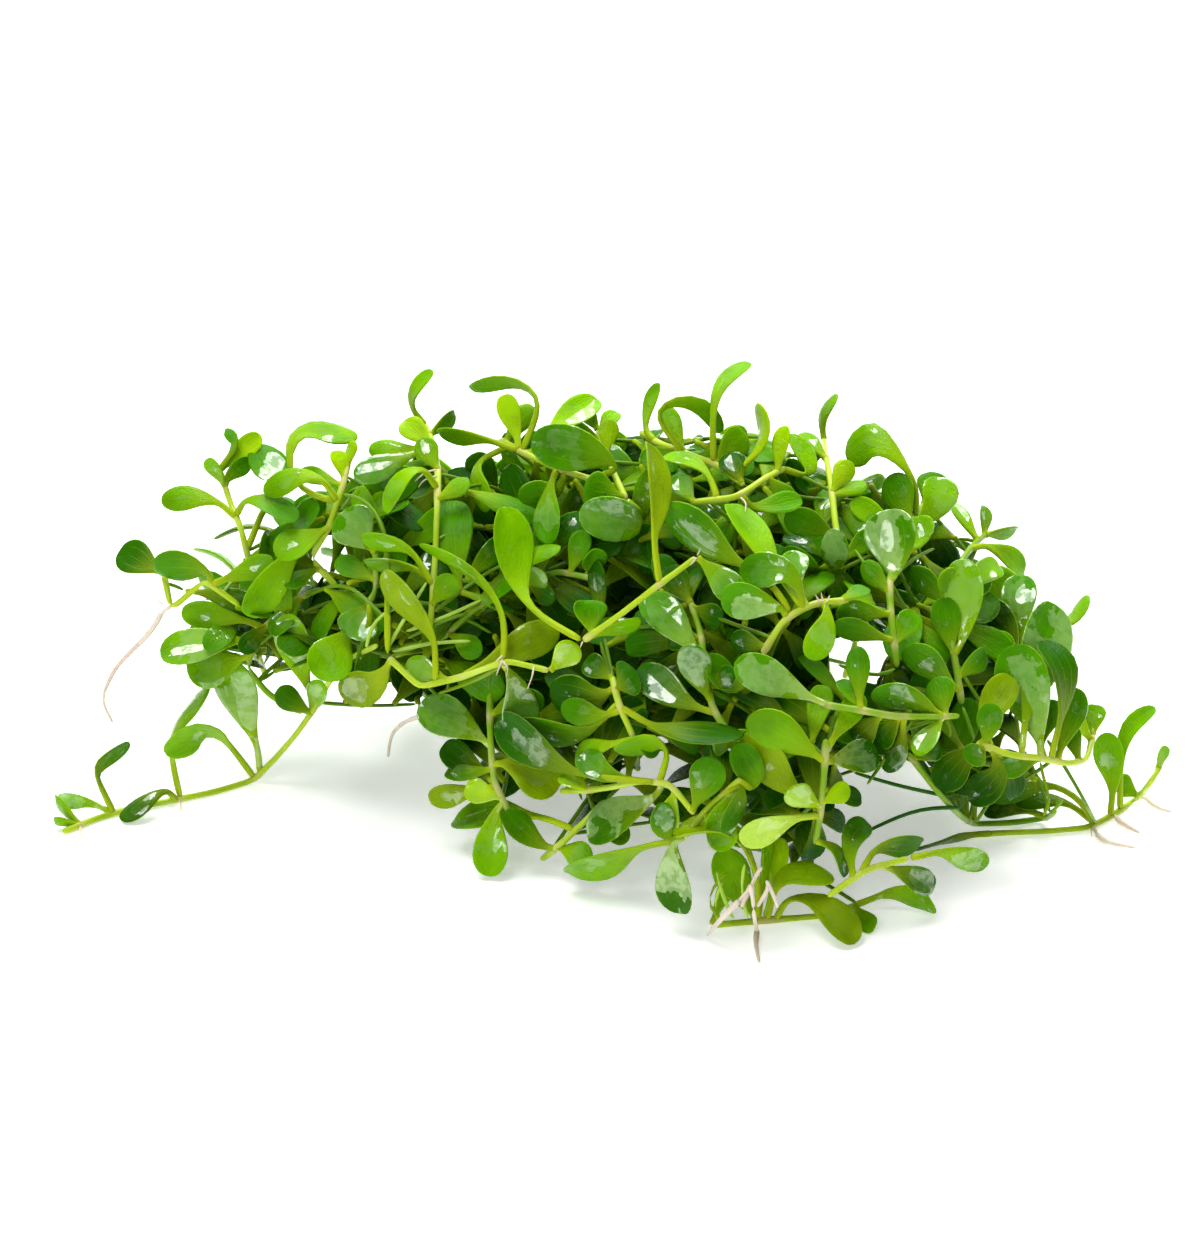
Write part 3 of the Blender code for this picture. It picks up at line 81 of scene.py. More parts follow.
# Each plant: its name, "free" if its leaves count depth from the stem, "green" if its stem is a
# deep green, the stem's route, and after the bar its leaves. A leaf has its route from root to
# tip, its width in pixels, its tip's depth in mm and the letter of its tone, with + for a film
# of water and ++ for a fuller one with a painted milky reflection. A place is across,down in
# pixels; it lies on the surface, or with a third value that many mm into the heap.
PLANTS = """
runner_left_trailing free: 62,832 80,825 114,812 141,806 180,799 210,793 256,779 282,750,7.5
   308,719,6 335,672,4 350,658,3 378,645,1 |
  78,825 47,795 14 1 B; 80,826 42,820 12 -1 B; 112,811 80,799 58,800 14 1.5 B;
  112,809 96,775 98,765 130,741 13 1 M; 177,797 160,791 120,821 17 -4 M;
  179,793 172,760 173,733 211,684 20 2 B; 252,776 225,740 203,728 162,752 25 -3 B;
  258,773 257,745 247,722 222,655 46 -1 B++; 309,714 276,690 24 -2 M; 309,714 322,680 22 -1 B+;
  318,697 307,685 286,612 34 2 B+

offshoot_left_low green: 303,713,5.5 285,703,5 256,687,5 246,662,5 262,630,5 292,600,5.5 322,588,6 |
  248,657 186,672 45 3 B; 250,640 225,640 159,657 38 1 B++; 262,625 243,620 180,612 28 3 B;
  265,622 239,652 20 0 D; 300,600 273,637 24 2 M

shoot_far_left: 164,574,2 162,606,1 180,606,1 203,581,1 222,584,2 240,606,3 |
  168,568 119,550 36 2 D; 222,570 204,568 152,566 36 0 M; 222,572 275,560 25 2 B

shoot_left_upper: 270,606,6 256,582,5 247,556,3.5 243,535,2.5 237,518,2 228,498,2 221,488,2
    220,470,2
   |
  236,520 210,499 160,499 23 1 B; 238,515 252,498 298,522 22 1 M; 226,484 230,474 250,458 19 2 M;
  246,550 268,500 285,482 253,444 32 3 M; 221,486 209,457 14 1 B;
  247,462 238,440 224,431 10 3 M; 252,460 261,434 22 3.5 L

shoot_left_arching: 338,588,5 318,572,4 309,552,4 325,533,3 332,523,2 338,500,2 342,490,2 345,475,2
   349,460,2 |
  338,500 300,492 288,467 290,445 303,428 359,434 30 2 B; 338,500 312,474 262,492 20 0 B;
  341,486 298,472 18 1.5 B; 345,478 335,450 18 4 L; 325,524 275,557 33 1 B;
  330,528 300,548 283,563 246,617 32 -1 B; 312,572 283,585 16 0 M; 347,466 352,440 14 3 L

shoot_left_inner green: 340,655,4 352,625,3.5 372,600,3 380,575,3 374,548,3 366,525,4 |
  350,625 317,680 45 1 B; 372,600 352,640 42 0 M+; 375,552 340,512 46 1 M++; 368,530 386,492 26 3 B;
  378,580 335,560 22 3 M

shoot_crown_left: 425,425,3 434,448,2 438,470,1 438,490,0.5 437,508,0.5 436,540,1 433,590,1
    430,632,1
   |
  430,452 410,455 353,478 25 0 M+; 428,448 402,450 368,448 18 3 B; 430,446 402,422 26 3 L;
  422,428 410,400 434,370 14 3 B; 428,436 455,412 16 4 B; 437,470 420,438 24 1 B;
  437,490 415,466 386,515 22 -0.5 B; 438,500 470,480 22 0 B; 434,586 405,545 361,538 15 0 B;
  434,580 408,566 363,562 16 1 B; 432,606 455,575 25 0 B

runner_middle_left: 388,657,-1 400,675,-1.5 415,685,-2 433,689,-2 460,678,-2 502,661,-2 520,666,-2
   535,675,-2 550,671,-2 |
  503,658 505,630 498,602 475,575 417,544 14 -1 B; 550,668 577,643 28 -1 L+;
  460,675 500,655 560,628 36 1.5 O; 447,682 405,664 28 0 B+;
  435,683 435,650 428,625 383,569 25 -1 O; 389,655 387,620 388,580 389,545 357,487 18 -0.5 B;
  392,660 372,688 337,690 40 1 O;
  505,664 518,690 520,735 36 0.5 M+

stem_behind_middle green: 400,648,3 440,640,3 470,612,3 500,595,3 535,578,3.5 570,570,4 600,580,5 |
  500,592 525,558 562,548 20 1 B; 530,584 556,600 20 0 D; 590,576 594,548 26 2 M;
  572,568 585,530 22 3 M; 450,634 482,655 24 1 M; 480,604 455,570 20 3 D; 540,576 545,525 26 3 M;
  527,596 545,572 26 0 B+

runner_centre: 583,641,-1.5 605,626,-2 640,600,-2 661,583,-2 680,569,-2 697,557,-1.5 |
  584,640 560,628 530,608 515,577 503,505 44 -1.5 B; 590,637 641,618 18 -1 B;
  592,636 585,600 36 1 M; 661,583 654,540 656,503 645,440 32 0 O; 697,556 720,578 742,602 30 0.5 M+

shoot_top_left: 500,440,4 523,453,1 545,465,1 568,470,1.5 600,482,3 |
  520,448 480,438 437,432 17 2 B; 523,452 540,400 510,378 469,389 13 3 B;
  520,448 516,430 503,394 22 2 L; 530,456 552,432 599,399 25 1.5 B;
  590,476 620,467 600,455 529,440 46 -1 M+; 510,446 474,468 489,512 16 -0.5 B;
  566,470 556,492 517,494 28 1 M; 556,468 548,500 552,545 30 0 M+; 505,443 532,404 24 4.5 B

shoot_top_middle: 626,500,4 616,478,4 606,455,4 598,430,4 |
  606,456 610,418 20 3 L; 598,432 618,412 16 4 B; 598,430 582,404 20 5 B; 622,498 583,488 38 1 M;
  626,500 650,524 577,512 44 1 M+; 602,440 570,428 22 4 B

shoot_top_inner_right: 640,432,4 662,445,3 690,455,2 720,466,2.5 745,486,3 |
  655,440 645,425 659,382 13 3 B; 684,452 655,412 680,399 705,408 720,435 16 1 B;
  684,452 665,405 20 3 B; 715,464 713,412 722,385 751,362 13 3 B; 735,474 765,440 755,404 20 3 L;
  716,462 745,432 30 2 B; 742,484 728,452 28 1 D; 675,450 640,462 22 2 M

runner_on_top: 690,503,0 712,501,-0.3 735,498,-0.5 751,488,0 767,477,0 785,468,1 |
  716,502 713,485 700,466 662,457 16 0 B; 740,496 757,508 803,500 20 -0.5 M; 776,472 785,425 17 3 L;
  783,469 812,475 788,433 22 1.5 B; 694,503 672,478 26 1 M+; 768,478 795,505 22 1.5 M

shoot_top_right: 842,560,3 836,530,2.5 832,492,1.5 827,462,1.5 824,440,2 |
  824,440 822,415 837,393 13 3 B; 832,492 850,460 22 1.5 L; 833,496 866,482 18 2 B;
  836,535 785,512 30 1 M; 840,556 832,575 838,528 30 -0.5 M++; 838,552 815,572 788,545 26 0 M;
  827,460 800,433 16 4 B; 842,558 875,532 22 3 M

shoot_right_arching green: 897,668,1 892,630,0.5 892,605,0 889,582,0.5 896,552,2 912,524,3
    926,500,4 |
  889,582 896,566 888,508 50 -1.5 M++; 891,592 862,562 22 1 M; 892,612 835,612 25 0.5 M;
  892,640 832,624 25 0 M; 916,518 915,482 897,458 876,433 846,462 28 2 B; 912,524 889,474 36 4 M;
  905,538 850,500 24 2 B; 924,505 938,472 35 3 M; 893,645 915,612 26 2 M;
  930,540 938,505 938,476 38 2 B+; 925,560 922,540 916,516 28 1 B

shoot_centre_right: 762,655,1 774,636,0 788,612,-1 800,601,-1.5 820,603,-1.5 850,600,-1 |
  790,608 770,580 745,566 725,554 662,506 42 -1 M; 786,615 775,606 720,597 34 -0.5 M++;
  800,601 768,560 727,503 32 1 B; 802,601 790,575 803,552 28 1 M+;
  822,603 828,620 808,660 27 -1.5 B+; 762,655 735,690 705,655 27 1 M; 768,646 730,640 26 2 D;
  842,601 868,588 16 0 M;
  800,601 790,570 738,575 36 0.5 M

stem_behind_centre green: 735,742,2 716,715,2 704,690,2 706,660,2.5 700,630,3 690,600,3.5 |
  704,660 643,595 38 1 M+; 706,700 700,680 688,643 35 0 M+; 716,715 680,700 638,668 35 1 D+;
  704,690 735,672 24 1 D; 692,602 668,566 26 4 D; 694,606 724,620 24 2 D; 702,636 668,640 26 3 D;
  735,742 712,744 22 -0.5 B; 735,742 748,730 20 -0.5 B

shoot_far_right_top green: 962,705,2 955,660,2 948,615,2 952,580,1.5 962,560,1 970,548,1 985,535,1 |
  985,535 983,505 15 1 B; 984,534 1017,529 14 2 B; 978,541 950,503 16 3 B;
  970,549 990,547 1025,572 20 0.5 B; 952,655 965,628 962,557 38 -1.5 B+;
  966,600 952,575 938,590 26 -1 B; 966,600 985,572 1000,566 24 -1 B; 950,600 987,572 32 3 M;
  949,605 910,568 26 2.5 M; 954,655 950,640 942,596 30 1 M; 960,692 905,646 32 0 M;
  958,680 985,650 24 1 M; 950,620 1000,600 32 3.5 M

shoot_far_right: 975,743,0.5 992,750,0 1015,756,0 1040,758,0 1065,762,0 1082,772,0 1088,755,0.5
   1093,735,1 |
  1091,740 1068,711 18 1 L; 1093,736 1095,704 22 2 B; 1081,770 1068,723 18 0 M;
  1040,758 997,770 24 -1 M; 1058,761 1078,687 30 3.5 M; 1044,757 1040,735 1058,700 24 2 M;
  1040,757 1036,720 1012,643 50 -1 M++; 1022,757 1030,690 1055,602 54 2 M++;
  990,749 985,720 1012,675 32 0 O; 980,746 988,735 990,702 26 -1 M;
  1050,758 1066,680 1040,640 26 4 D;
  982,747 960,760 938,790 36 2 D; 990,750 1000,775 968,802 34 2.5 D;
  978,745 985,758 962,752 22 -1 M; 1000,752 985,790 945,770 34 3.5 D

stem_right_upright green: 1012,700,3.5 1015,665,3.5 1024,640,3.5 1040,622,4 |
  1020,646 1018,608 1022,574 36 3 M+; 1036,626 1067,625 1087,594 15 4 B; 1014,680 990,632 32 3 M;
  1013,690 1050,675 24 4.5 D;
  1022,640 1016,605 988,568 38 3.5 B; 1016,655 1008,628 984,602 32 4.5 D

runner_right_centre green: 818,704,-0.5 830,705,-1 860,710,-1.5 900,717,-1.5 943,716,-1.5
    960,716,-1 |
  826,705 790,688 733,662 38 -0.5 M++; 944,717 915,700 870,693 30 -1 M; 943,717 918,757 25 -1.5 B+;
  945,716 937,676 30 1 M; 862,710 857,645 24 1 M; 866,710 838,680 18 1 M; 900,717 880,745 24 1 D;
  880,714 860,735 838,745 36 2.5 D; 905,717 890,735 868,742 32 3 D;
  904,718 900,750 884,772 20 1 D

shoot_right_middle green: 826,738,-1 824,762,-1 824,785,-0.5 822,805,0 818,825,0.5 815,845,1 |
  824,764 800,745 747,716 42 -1.5 B; 825,750 862,692 25 -0.5 B; 825,760 879,755 34 0 D+;
  822,806 785,785 765,755 742,733 38 0 O; 822,806 787,790 28 -1.5 L+; 823,804 850,787 22 -1.5 L;
  820,816 790,820 738,840 25 -0.5 P; 817,840 837,850 845,878 14 0 M; 824,790 862,800 20 2 D

runner_right_trailing free: 1163,758,3 1157,772,2 1150,783,1.5 1138,797 1120,810 1095,826 1050,831
   1000,833 965,835 |
  1110,817 1113,775 1105,731 27 1 B; 1120,809 1122,745 1135,724 1157,707 13 1 B;
  1138,796 1115,780 22 -0.5 B; 1093,825 1085,805 1065,790 1040,784 985,797 20 0 M;
  1095,825 1060,800 1015,803 14 1 M; 990,834 965,836 915,850 20 -3.5 M; 1158,768 1164,745 12 0.5 B

runner_right_second free green: 1062,797,2 1055,810,1 1045,818 1010,823 975,824 950,806,2.5
    928,780,2.5
   907,752,2.5 |
  1047,818 1020,809 983,812 18 1 M; 968,822 950,780 22 1 M; 974,822 977,752 20 2 M+;
  912,758 940,745 24 1 D

shoot_front_left green: 490,692,0.5 487,720,0 492,748,0 494,785,0 495,806,0 512,818,0 |
  490,748 470,730 417,706 42 -1 M+; 493,780 442,745 28 1.5 D; 494,786 428,799 25 0 O;
  493,770 462,775 445,772 18 2 M; 494,762 520,765 558,792 45 1 O; 495,800 464,788 25 -1 L+;
  495,806 493,820 490,878 35 -1 B; 488,716 520,700 545,706 30 1 M

shoot_front_low: 541,860,0.5 555,849,0 572,834,0 588,818,0.5 606,800,1 |
  555,849 535,842 502,812 28 0 M; 575,830 530,815 453,820 30 0.5 B; 557,848 593,860 28 -1 B+;
  597,808 625,845 24 -1 B

shoot_front_middle: 560,791,0 590,790,-0.5 625,785,-1 660,778,-1.5 680,795,-1.5 695,815,-1.5 |
  658,778 600,777 570,770 497,717 32 -0.5 D; 694,812 716,757 36 -1 M;
  664,782 650,800 586,835 38 0.5 M++; 660,778 668,750 655,738 615,752 24 0 B;
  590,790 560,775 20 1.5 L; 676,790 664,836 28 -1 L+;
  640,780 600,772 582,752 28 1.5 M

shoot_front_hub: 612,676,1 618,702,-1 627,720,-1.5 634,739,-1 |
  617,703 600,722 575,733 520,722 25 -0.5 M; 620,705 645,722 665,728 745,737 32 -1 D;
  633,737 600,748 575,768 24 1 B; 615,688 590,700 548,690 44 -0.5 D; 616,692 638,672 35 0 D;
  613,678 585,660 24 2 D; 634,738 660,752 22 1 M; 622,710 596,716 560,706 26 1.5 M

runner_front_ground free: 712,925 735,923 760,921 795,918 830,915 858,904 |
  758,920 758,880 750,855 728,828 673,838 27 -3 O; 757,918 764,870 764,822 16 1 B;
  756,919 730,875 718,848 38 0.5 B; 765,918 775,880 780,836 22 1.5 L;
  768,918 784,872 836,880 30 0 L; 775,918 790,898 820,902 855,946 30 -2 O; 856,905 873,932 20 -1 B;
  855,905 900,892 937,914 22 -1 B; 714,924 722,900 740,876 16 1 B

shoot_front_hanging: 742,778,0 722,795,-0.5 704,812,-0.5 682,840,-0.5 |
  684,836 672,850 682,915 38 -1 M++; 682,838 640,848 568,874 30 0 B; 690,828 665,840 662,801 24
    -1 M;
  704,812 730,850 30 0 B; 722,795 745,785 722,832 20 -1 M; 738,782 760,790 735,742 30 0.5 M;
  740,780 733,800 712,838 30 -0.5 B+

runner_front_right: 827,897,-0.5 848,876,-0.5 880,866,-0.5 910,858,-0.5 |
  908,858 950,852 987,868 22 -0.5 B; 880,866 900,872 935,888 26 0.5 M+;
  858,872 880,846 922,843 25 1.5 M; 850,875 850,840 868,822 24 2 M
"""

# Thin side stems, root hairs on the joints (R) and the upper ends of roots (Y): the plant, then
# each one's route and the letter of its tone
SIDE_STEMS = """
runner_right_second: 963,808,2.5 928,808,3 895,818,3.5 858,836,4 D;
  952,797,2.5 900,786,4 852,772,5 D;
  952,806,3 930,775,3 912,745,3 D; 975,824,1 990,800,2 1002,775,2 G
runner_right_centre: 914,720,1 893,748,1 866,786,0.5 G; 943,717,-1 952,728,-1 950,738,-1 G;
  818,704,-0.5 800,698,1 785,690,2 G
runner_middle_left: 366,650,0.5 370,628,0.5 382,613,1 402,606,1 421,597,1.5 P;
  387,650,0 400,626,0.5 411,608,0.5 428,580,1 P; 390,652,1 433,643,1.5 473,641,2 P;
  404,632,1 440,619,1.5 484,599,2 P; 503,666,-1 470,683,-1.2 436,694,-1.2 O;
  505,662,-1.6 525,664,-1.6 548,668,-1 G;
  503,658,-2.3 499,668,-2.6 496,676,-2.6 R; 502,660,-2.4 508,668,-2.6 506,678,-2.6 R;
  503,655,-2.4 495,662,-2.6 R; 534,666,-2.2 532,677,-2.8 527,690,-2.8 R
shoot_far_left: 172,606,1 167,609,1 161,614,1 157,620,1 Y; 164,605,1 157,600,1 156,592,1 R
shoot_left_arching: 341,494,1 366,500,1 384,530,0.5 389,575,0.5 388,650,0 G
shoot_crown_left: 437,470,0 426,472,-0.5 414,482,-0.5 R; 437,476,0 424,480,-0.5 418,488,-0.5 R
shoot_top_right: 832,492,2 806,478,2 788,470,2 G
shoot_right_arching: 892,600,1.5 872,575,1.5 854,548,2 G; 889,582,2 912,560,3 935,548,4 G;
  897,668,0.6 880,677,1 862,673,1.4 836,664,2 G
shoot_far_right_top: 962,705,1.6 968,722,1.2 975,743,0.8 G; 955,660,2 972,690,2 990,715,2 G
shoot_far_right: 1046,738,3 1062,762,3 1084,800,1.5 1096,824 G;
  1040,760,1 1041,775,1 1052,800,1 1042,818,1 O
stem_right_upright: 1014,700,3 1018,730,2 1021,757,1 O
shoot_front_hub: 612,676,1.5 605,662,2 600,640,2.5 G; 634,739,-1 638,752,0 640,766,0 G
stem_behind_middle: 440,640,2 410,648,1.5 388,657,1 G; 470,612,2 440,622,1.5 405,640,1 G
shoot_front_left: 490,692,0.5 488,676,0.8 495,664,0 G
runner_centre: 583,641,-1.6 580,648,-1.8 R; 697,556,-1.8 701,548,-2 R; 697,557,-1.8 690,566,-2 R
shoot_centre_right: 820,603,-1.8 815,594,-2.2 R; 823,602,-1.8 821,592,-2.2 R;
  826,603,-1.8 830,595,-2.2 R
runner_on_top: 740,497,-0.8 746,503,-1 745,512,-1 R
runner_front_ground: 735,922,0 722,896,-0.5 716,868,0 P; 748,920,0 741,890,-0.5 745,862,0 P;
  762,919,0 772,895,0 770,868,0.5 O; 725,922,0 704,900,-0.5 727,872,0 O;
  750,884,-1 753,900,-1.5 754,915,-1.5 757,932 Y; 752,886,-0.5 746,893,-0.5 738,902,-0.5 Y;
  762,866,0 757,874,0 751,886,0 Y; 770,884,-0.5 764,896,-1 757,907,-1 Y;
  766,880,-0.5 773,894,-0.8 778,908,-0.8 Y; 718,924,0 712,905,-0.5 724,880,0 P
runner_right_trailing: 1093,827 1095,831 1100,837 Y; 1111,813 1114,816 1119,820 Y;
  1137,797 1143,797 1150,801 Y; 1091,828 1092,838 R; 1139,797 1149,793 R
runner_left_trailing: 80,826 81,835 84,842 R; 179,799 181,806 180,812 R; 114,812 119,807 R
"""

ROOTS = """
root_left_hanging: 162,612,1 150,632,1 120,663,1 108,683,1 103,702,1 113,723,1
root_left_small: 434,697,0 430,712,3 405,722,8 392,735,12 388,757,14
root_front_long: 757,930 756,944 759,962
root_front_left: 740,900,-0.5 722,918,-1.5 707,936
root_front_short: 752,884,0 746,896,-0.5 741,908,-1
root_right_long: 1146,797 1157,807 1172,812
root_right_lower: 1096,834 1108,842 1136,848
root_right_middle: 1116,818 1125,825 1140,833
"""

# Stems behind and inside: place across in mm at foot and head, angle over the ground at both,
# share of the heap's size at which it runs
BACK_STEMS = (
    (-32, -26, 12, 62, 0.80), (-22, -18, 4, 70, 0.82), (-11, -11, 0, 74, 0.80),
    (0, -2, 0, 76, 0.83), (11, 9, 0, 76, 0.80), (22, 19, 0, 72, 0.82), (33, 29, 0, 64, 0.80),
)
BACK_NODES = 4
BACK_HIDDEN = 0.9  # how near the heap's outline a back leaf's tip may show
BACK_SWAY = 1.6 * MM
BACK_FOOT = 0.04 * MM  # how high its foot lies at the least

# Where the photograph shows the heap closed, and the openings that it shows through it, in
# pixels: young leaves inside the heap stay within the first and off the second
CLOSED_OUTLINE = (
    (176, 640), (196, 602), (222, 588), (236, 560), (262, 520), (300, 492), (345, 470),
    (400, 432), (450, 440), (480, 445), (525, 420), (600, 415), (650, 425), (700, 420),
    (760, 425), (800, 450), (850, 480), (900, 485), (940, 505), (965, 545), (1008, 590),
    (1034, 640), (1036, 700), (1046, 752), (1044, 782), (1030, 800), (940, 802), (905, 755),
    (860, 772), (842, 840), (790, 880), (740, 850), (700, 840), (640, 825), (560, 840),
    (500, 812), (470, 770), (430, 715), (400, 690), (345, 690), (300, 672), (250, 682),
    (200, 680),
)
OPENINGS = (
    (860, 655, 26), (1000, 550, 12), (915, 560, 8), (880, 580, 8), (895, 797, 38),
    (962, 822, 22), (545, 810, 30), (630, 792, 16), (655, 762, 12), (450, 450, 16),
    (690, 430, 10), (318, 557, 15), (336, 549, 14), (245, 670, 10), (290, 700, 12),
    (1020, 735, 12), (1003, 742, 10), (1054, 772, 10), (670, 768, 14),
)


class Tone(Enum):
    """The letters of the routes and the colours that they stand for."""

    LIME = ("L", (0.30, 0.55, 0.001))
    BRIGHT = ("B", (0.155, 0.40, 0.0005))
    MIDDLE = ("M", (0.067, 0.268, 0.0004))
    DEEP = ("D", (0.021, 0.125, 0.0003))
    OLIVE = ("O", (0.20, 0.33, 0.002))
    PALE = ("P", (0.40, 0.62, 0.07))
    SHADED = ("S", (0.012, 0.090, 0.0002))
    STEM = ("G", (0.13, 0.27, 0.006))
    HAIR = ("R", (0.74, 0.62, 0.47))
    ROOT = ("Y", (0.76, 0.66, 0.54))

    @classmethod
    def of(cls, letter: str) -> "Tone":
        """The tone that a letter stands for."""
        return next(tone for tone in cls if tone.value[0] == letter)

    @property
    def colour(self) -> Vector:
        """The tone's colour."""
        return Vector(self.value[1])


@dataclass
class Route:
    """A line of points that can be walked along by distance."""

    points: list[Vector]
    lengths: list[float] = field(init=False)

    def __post_init__(self) -> None:
        """Measures the line up to each of its points."""
        self.lengths = [0.0]
        for start, end in zip(self.points, self.points[1:]):
            self.lengths.append(self.lengths[-1] + (end - start).length)

    @property
    def length(self) -> float:
        """The whole length."""
        return self.lengths[-1]

    @classmethod
    def smooth(cls, points: list[Vector], steps: int) -> "Route":
        """A smooth curve through points.

        Args:
            points: What the curve passes through.
            steps: How many points each stretch gets.

        Returns:
            The curve.
        """
        ends = [2 * points[0] - points[1], *points, 2 * points[-1] - points[-2]]
        curve = []
        for before, start, end, after in zip(ends, ends[1:], ends[2:], ends[3:]):
            for step in range(steps):
                t = step / steps
                pull = (end - before) * t + (2 * before - 5 * start + 4 * end - after) * t**2
                curve.append(start + (pull + (3 * start - before - 3 * end + after) * t**3) / 2)
        return cls([*curve, points[-1]])

    @classmethod
    def bow(cls, start: Vector, bend: Vector, end: Vector, steps: int) -> "Route":
        """A smooth curve between two points whose middle is moved by a bend."""
        return cls.smooth([start, (start + end) / 2 + bend, end], steps)

    def at(self, distance: float) -> tuple[Vector, Vector]:
        """The point and the direction at a distance from the start.

        Args:
            distance: Metres along the line.

        Returns:
            The point, and the line's direction there.
        """
        last = len(self.points) - 2
        index = next((i for i in range(last) if self.lengths[i + 1] >= distance), last)
        way = self.points[index + 1] - self.points[index]
        share = (distance - self.lengths[index]) / max(way.length, 1e-9)
        return self.points[index] + way * share, way.normalized()

    def thinned(self, spacing: float) -> "Route":
        """The same line with points at about this spacing, with both ends."""
        count = max(round(self.length / spacing), 1)
        return Route([self.at(self.length * i / count)[0] for i in range(count + 1)])


def linked(name: str, data: bpy.types.ID) -> bpy.types.Object:
    """Puts data into the scene as an object.

    Args:
        name: The object's name.
        data: Its mesh, light or camera.

    Returns:
        The object.
    """
    made = bpy.data.objects.new(name, data)
    bpy.context.scene.collection.objects.link(made)
    return made


def mesh_of(name: str, shape: bmesh.types.BMesh) -> bpy.types.Mesh:
    """Makes a finished form a mesh.

    Args:
        name: The mesh's name.
        shape: The form, which is freed.

    Returns:
        The mesh.
    """
    data = bpy.data.meshes.new(name)
    shape.to_mesh(data)
    shape.free()
    return data


@dataclass(frozen=True)
class PhotoView:
    """The photograph's point of view: pixels on one side, metres on the other."""

    size: tuple[int, int] = (1200, 1236)
    clump_pixels: int = 1134
    clump_length: float = 100 * MM
    aim: Vector = field(default_factory=lambda: Vector((-0.44, 0.0, 16.9)) * MM)
    tilt: float = math.radians(26)
    distance: float = 600 * MM
    sensor: float = 36.0

    @property
    def pixel(self) -> float:
        """What a pixel measures at the aim."""
        return self.clump_length / self.clump_pixels

    @property
    def into(self) -> Vector:
        """The direction of the view."""
        return Vector((0, math.cos(self.tilt), -math.sin(self.tilt)))

    @property
    def up(self) -> Vector:
        """The picture's upward direction."""
        return Vector((0, math.sin(self.tilt), math.cos(self.tilt)))

    @property
    def eye(self) -> Vector:
        """Where the photograph was taken from."""
        return self.aim - self.into * self.distance

    def sight(self, across: float, down: float) -> Vector:
        """The way from the eye to a pixel, on the plane through the aim."""
        seen = self.aim + Vector((1, 0, 0)) * (across - self.size[0] / 2) * self.pixel
        return seen + self.up * (self.size[1] / 2 - down) * self.pixel - self.eye

    def pixel_of(self, point: Vector) -> tuple[float, float]:
        """The pixel that shows a point.

        Args:
            point: A place in the clump, before it is centred.

        Returns:
            The place across and down in the picture.
        """
        way = point - self.eye
        way *= self.distance / way.dot(self.into)
        across, down = self.size[0] / 2, self.size[1] / 2
        return across + way.x / self.pixel, down - way.dot(self.up) / self.pixel

    def on_surface(self, across: float, down: float) -> Vector:
        """Where a pixel's line of sight meets what lies on the surface."""
        way = self.sight(across, down)
        return self.eye + way * ((LIE - self.eye.z) / way.z)

    def at_depth(self, across: float, down: float, depth: float) -> Vector:
        """The point of a line of sight at a depth, kept above the surface.

        Args:
            across: The pixel's place across.
            down: Its place down.
            depth: The depth, as a place along Y.

        Returns:
            The point.
        """
        way = self.sight(across, down)
        point = self.eye + way * ((depth - self.eye.y) / way.y)
        return point if point.z >= LIE else self.on_surface(across, down)

    def place_camera(self) -> None:
        """Sets the scene's camera where the photograph was taken from."""
        lens = bpy.data.cameras.new("photo_camera")
        lens.sensor_fit = "HORIZONTAL"
        lens.sensor_width = self.sensor
        lens.lens = self.sensor * self.distance / (self.size[0] * self.pixel)
        lens.clip_start = 0.01
        camera = linked("photo_camera", lens)
        camera.location = self.eye + CENTRING
        camera.rotation_euler = (math.radians(90) - self.tilt, 0, 0)
        bpy.context.scene.camera = camera


@dataclass(frozen=True)
class Heap:
    """The outer form of the heap, which says how deep each seen thing lies."""

    view: PhotoView
    form: tuple[tuple[float, ...], ...] = HEAP_FORM

    def at(self, across: float) -> list[float]:
        """The heap's section at a place across.

        Args:
            across: The place, in metres.

        Returns:
            Half its depth, that depth's middle and its height, in metres.
        """
        place = across / MM
        for near, far in zip(self.form, self.form[1:]):
            if place <= far[0]:
                break
        share = min(max((place - near[0]) / (far[0] - near[0]), 0), 1)
        return [(a + (b - a) * share) * MM for a, b in zip(near[1:], far[1:])]

    def depth(self, across: float, down: float) -> float:
        """Where a line of sight meets the heap, or passes it closest.

        Args:
            across: The pixel's place across.
            down: Its place down.

        Returns:
            The depth, as a place along Y.
        """
        eye, way = self.view.eye, self.view.sight(across, down)
        offset = (across - self.view.size[0] / 2) * self.view.pixel
        half, middle, height = self.at(self.view.aim.x + offset)
        start_y, start_z = (eye.y - middle) / half, eye.z / height
        way_y, way_z = way.y / half, way.z / height
        square = way_y**2 + way_z**2
        linear = start_y * way_y + start_z * way_z
        inside = linear**2 - square * (start_y**2 + start_z**2 - 1)
        return eye.y + way.y * (-linear - math.sqrt(max(inside, 0))) / square

    def spot(self, place: tuple[float, ...]) -> Vector:
        """The point that a written place stands for.

        Args:
            place: Its pixel, and how many mm into the heap it lies unless it is on the surface.

        Returns:
            The point.
        """
        if len(place) == 2:
            return self.view.on_surface(*place)
        across, down, inset = place
        return self.view.at_depth(across, down, self.depth(across, down) + inset * MM)

    def seen_reach(self, point: Vector) -> float:
        """How far out the line of sight through a point passes the heap.

        Args:
            point: The point.

        Returns:
            0 through the heap's middle, 1 where it just meets its form.
        """
        half, middle, height = self.at(point.x)
        eye = self.view.eye
        start_y, start_z = (eye.y - middle) / half, eye.z / height
        way_y, way_z = (point.y - eye.y) / half, (point.z - eye.z) / height
        return abs(start_y * way_z - start_z * way_y) / math.hypot(way_y, way_z)

    def reach(self, point: Vector) -> float:
        """How far out a point lies: 0 in the heap's middle, 1 at its form."""
        half, middle, height = self.at(point.x)
        return math.hypot((point.y - middle) / half, point.z / height)


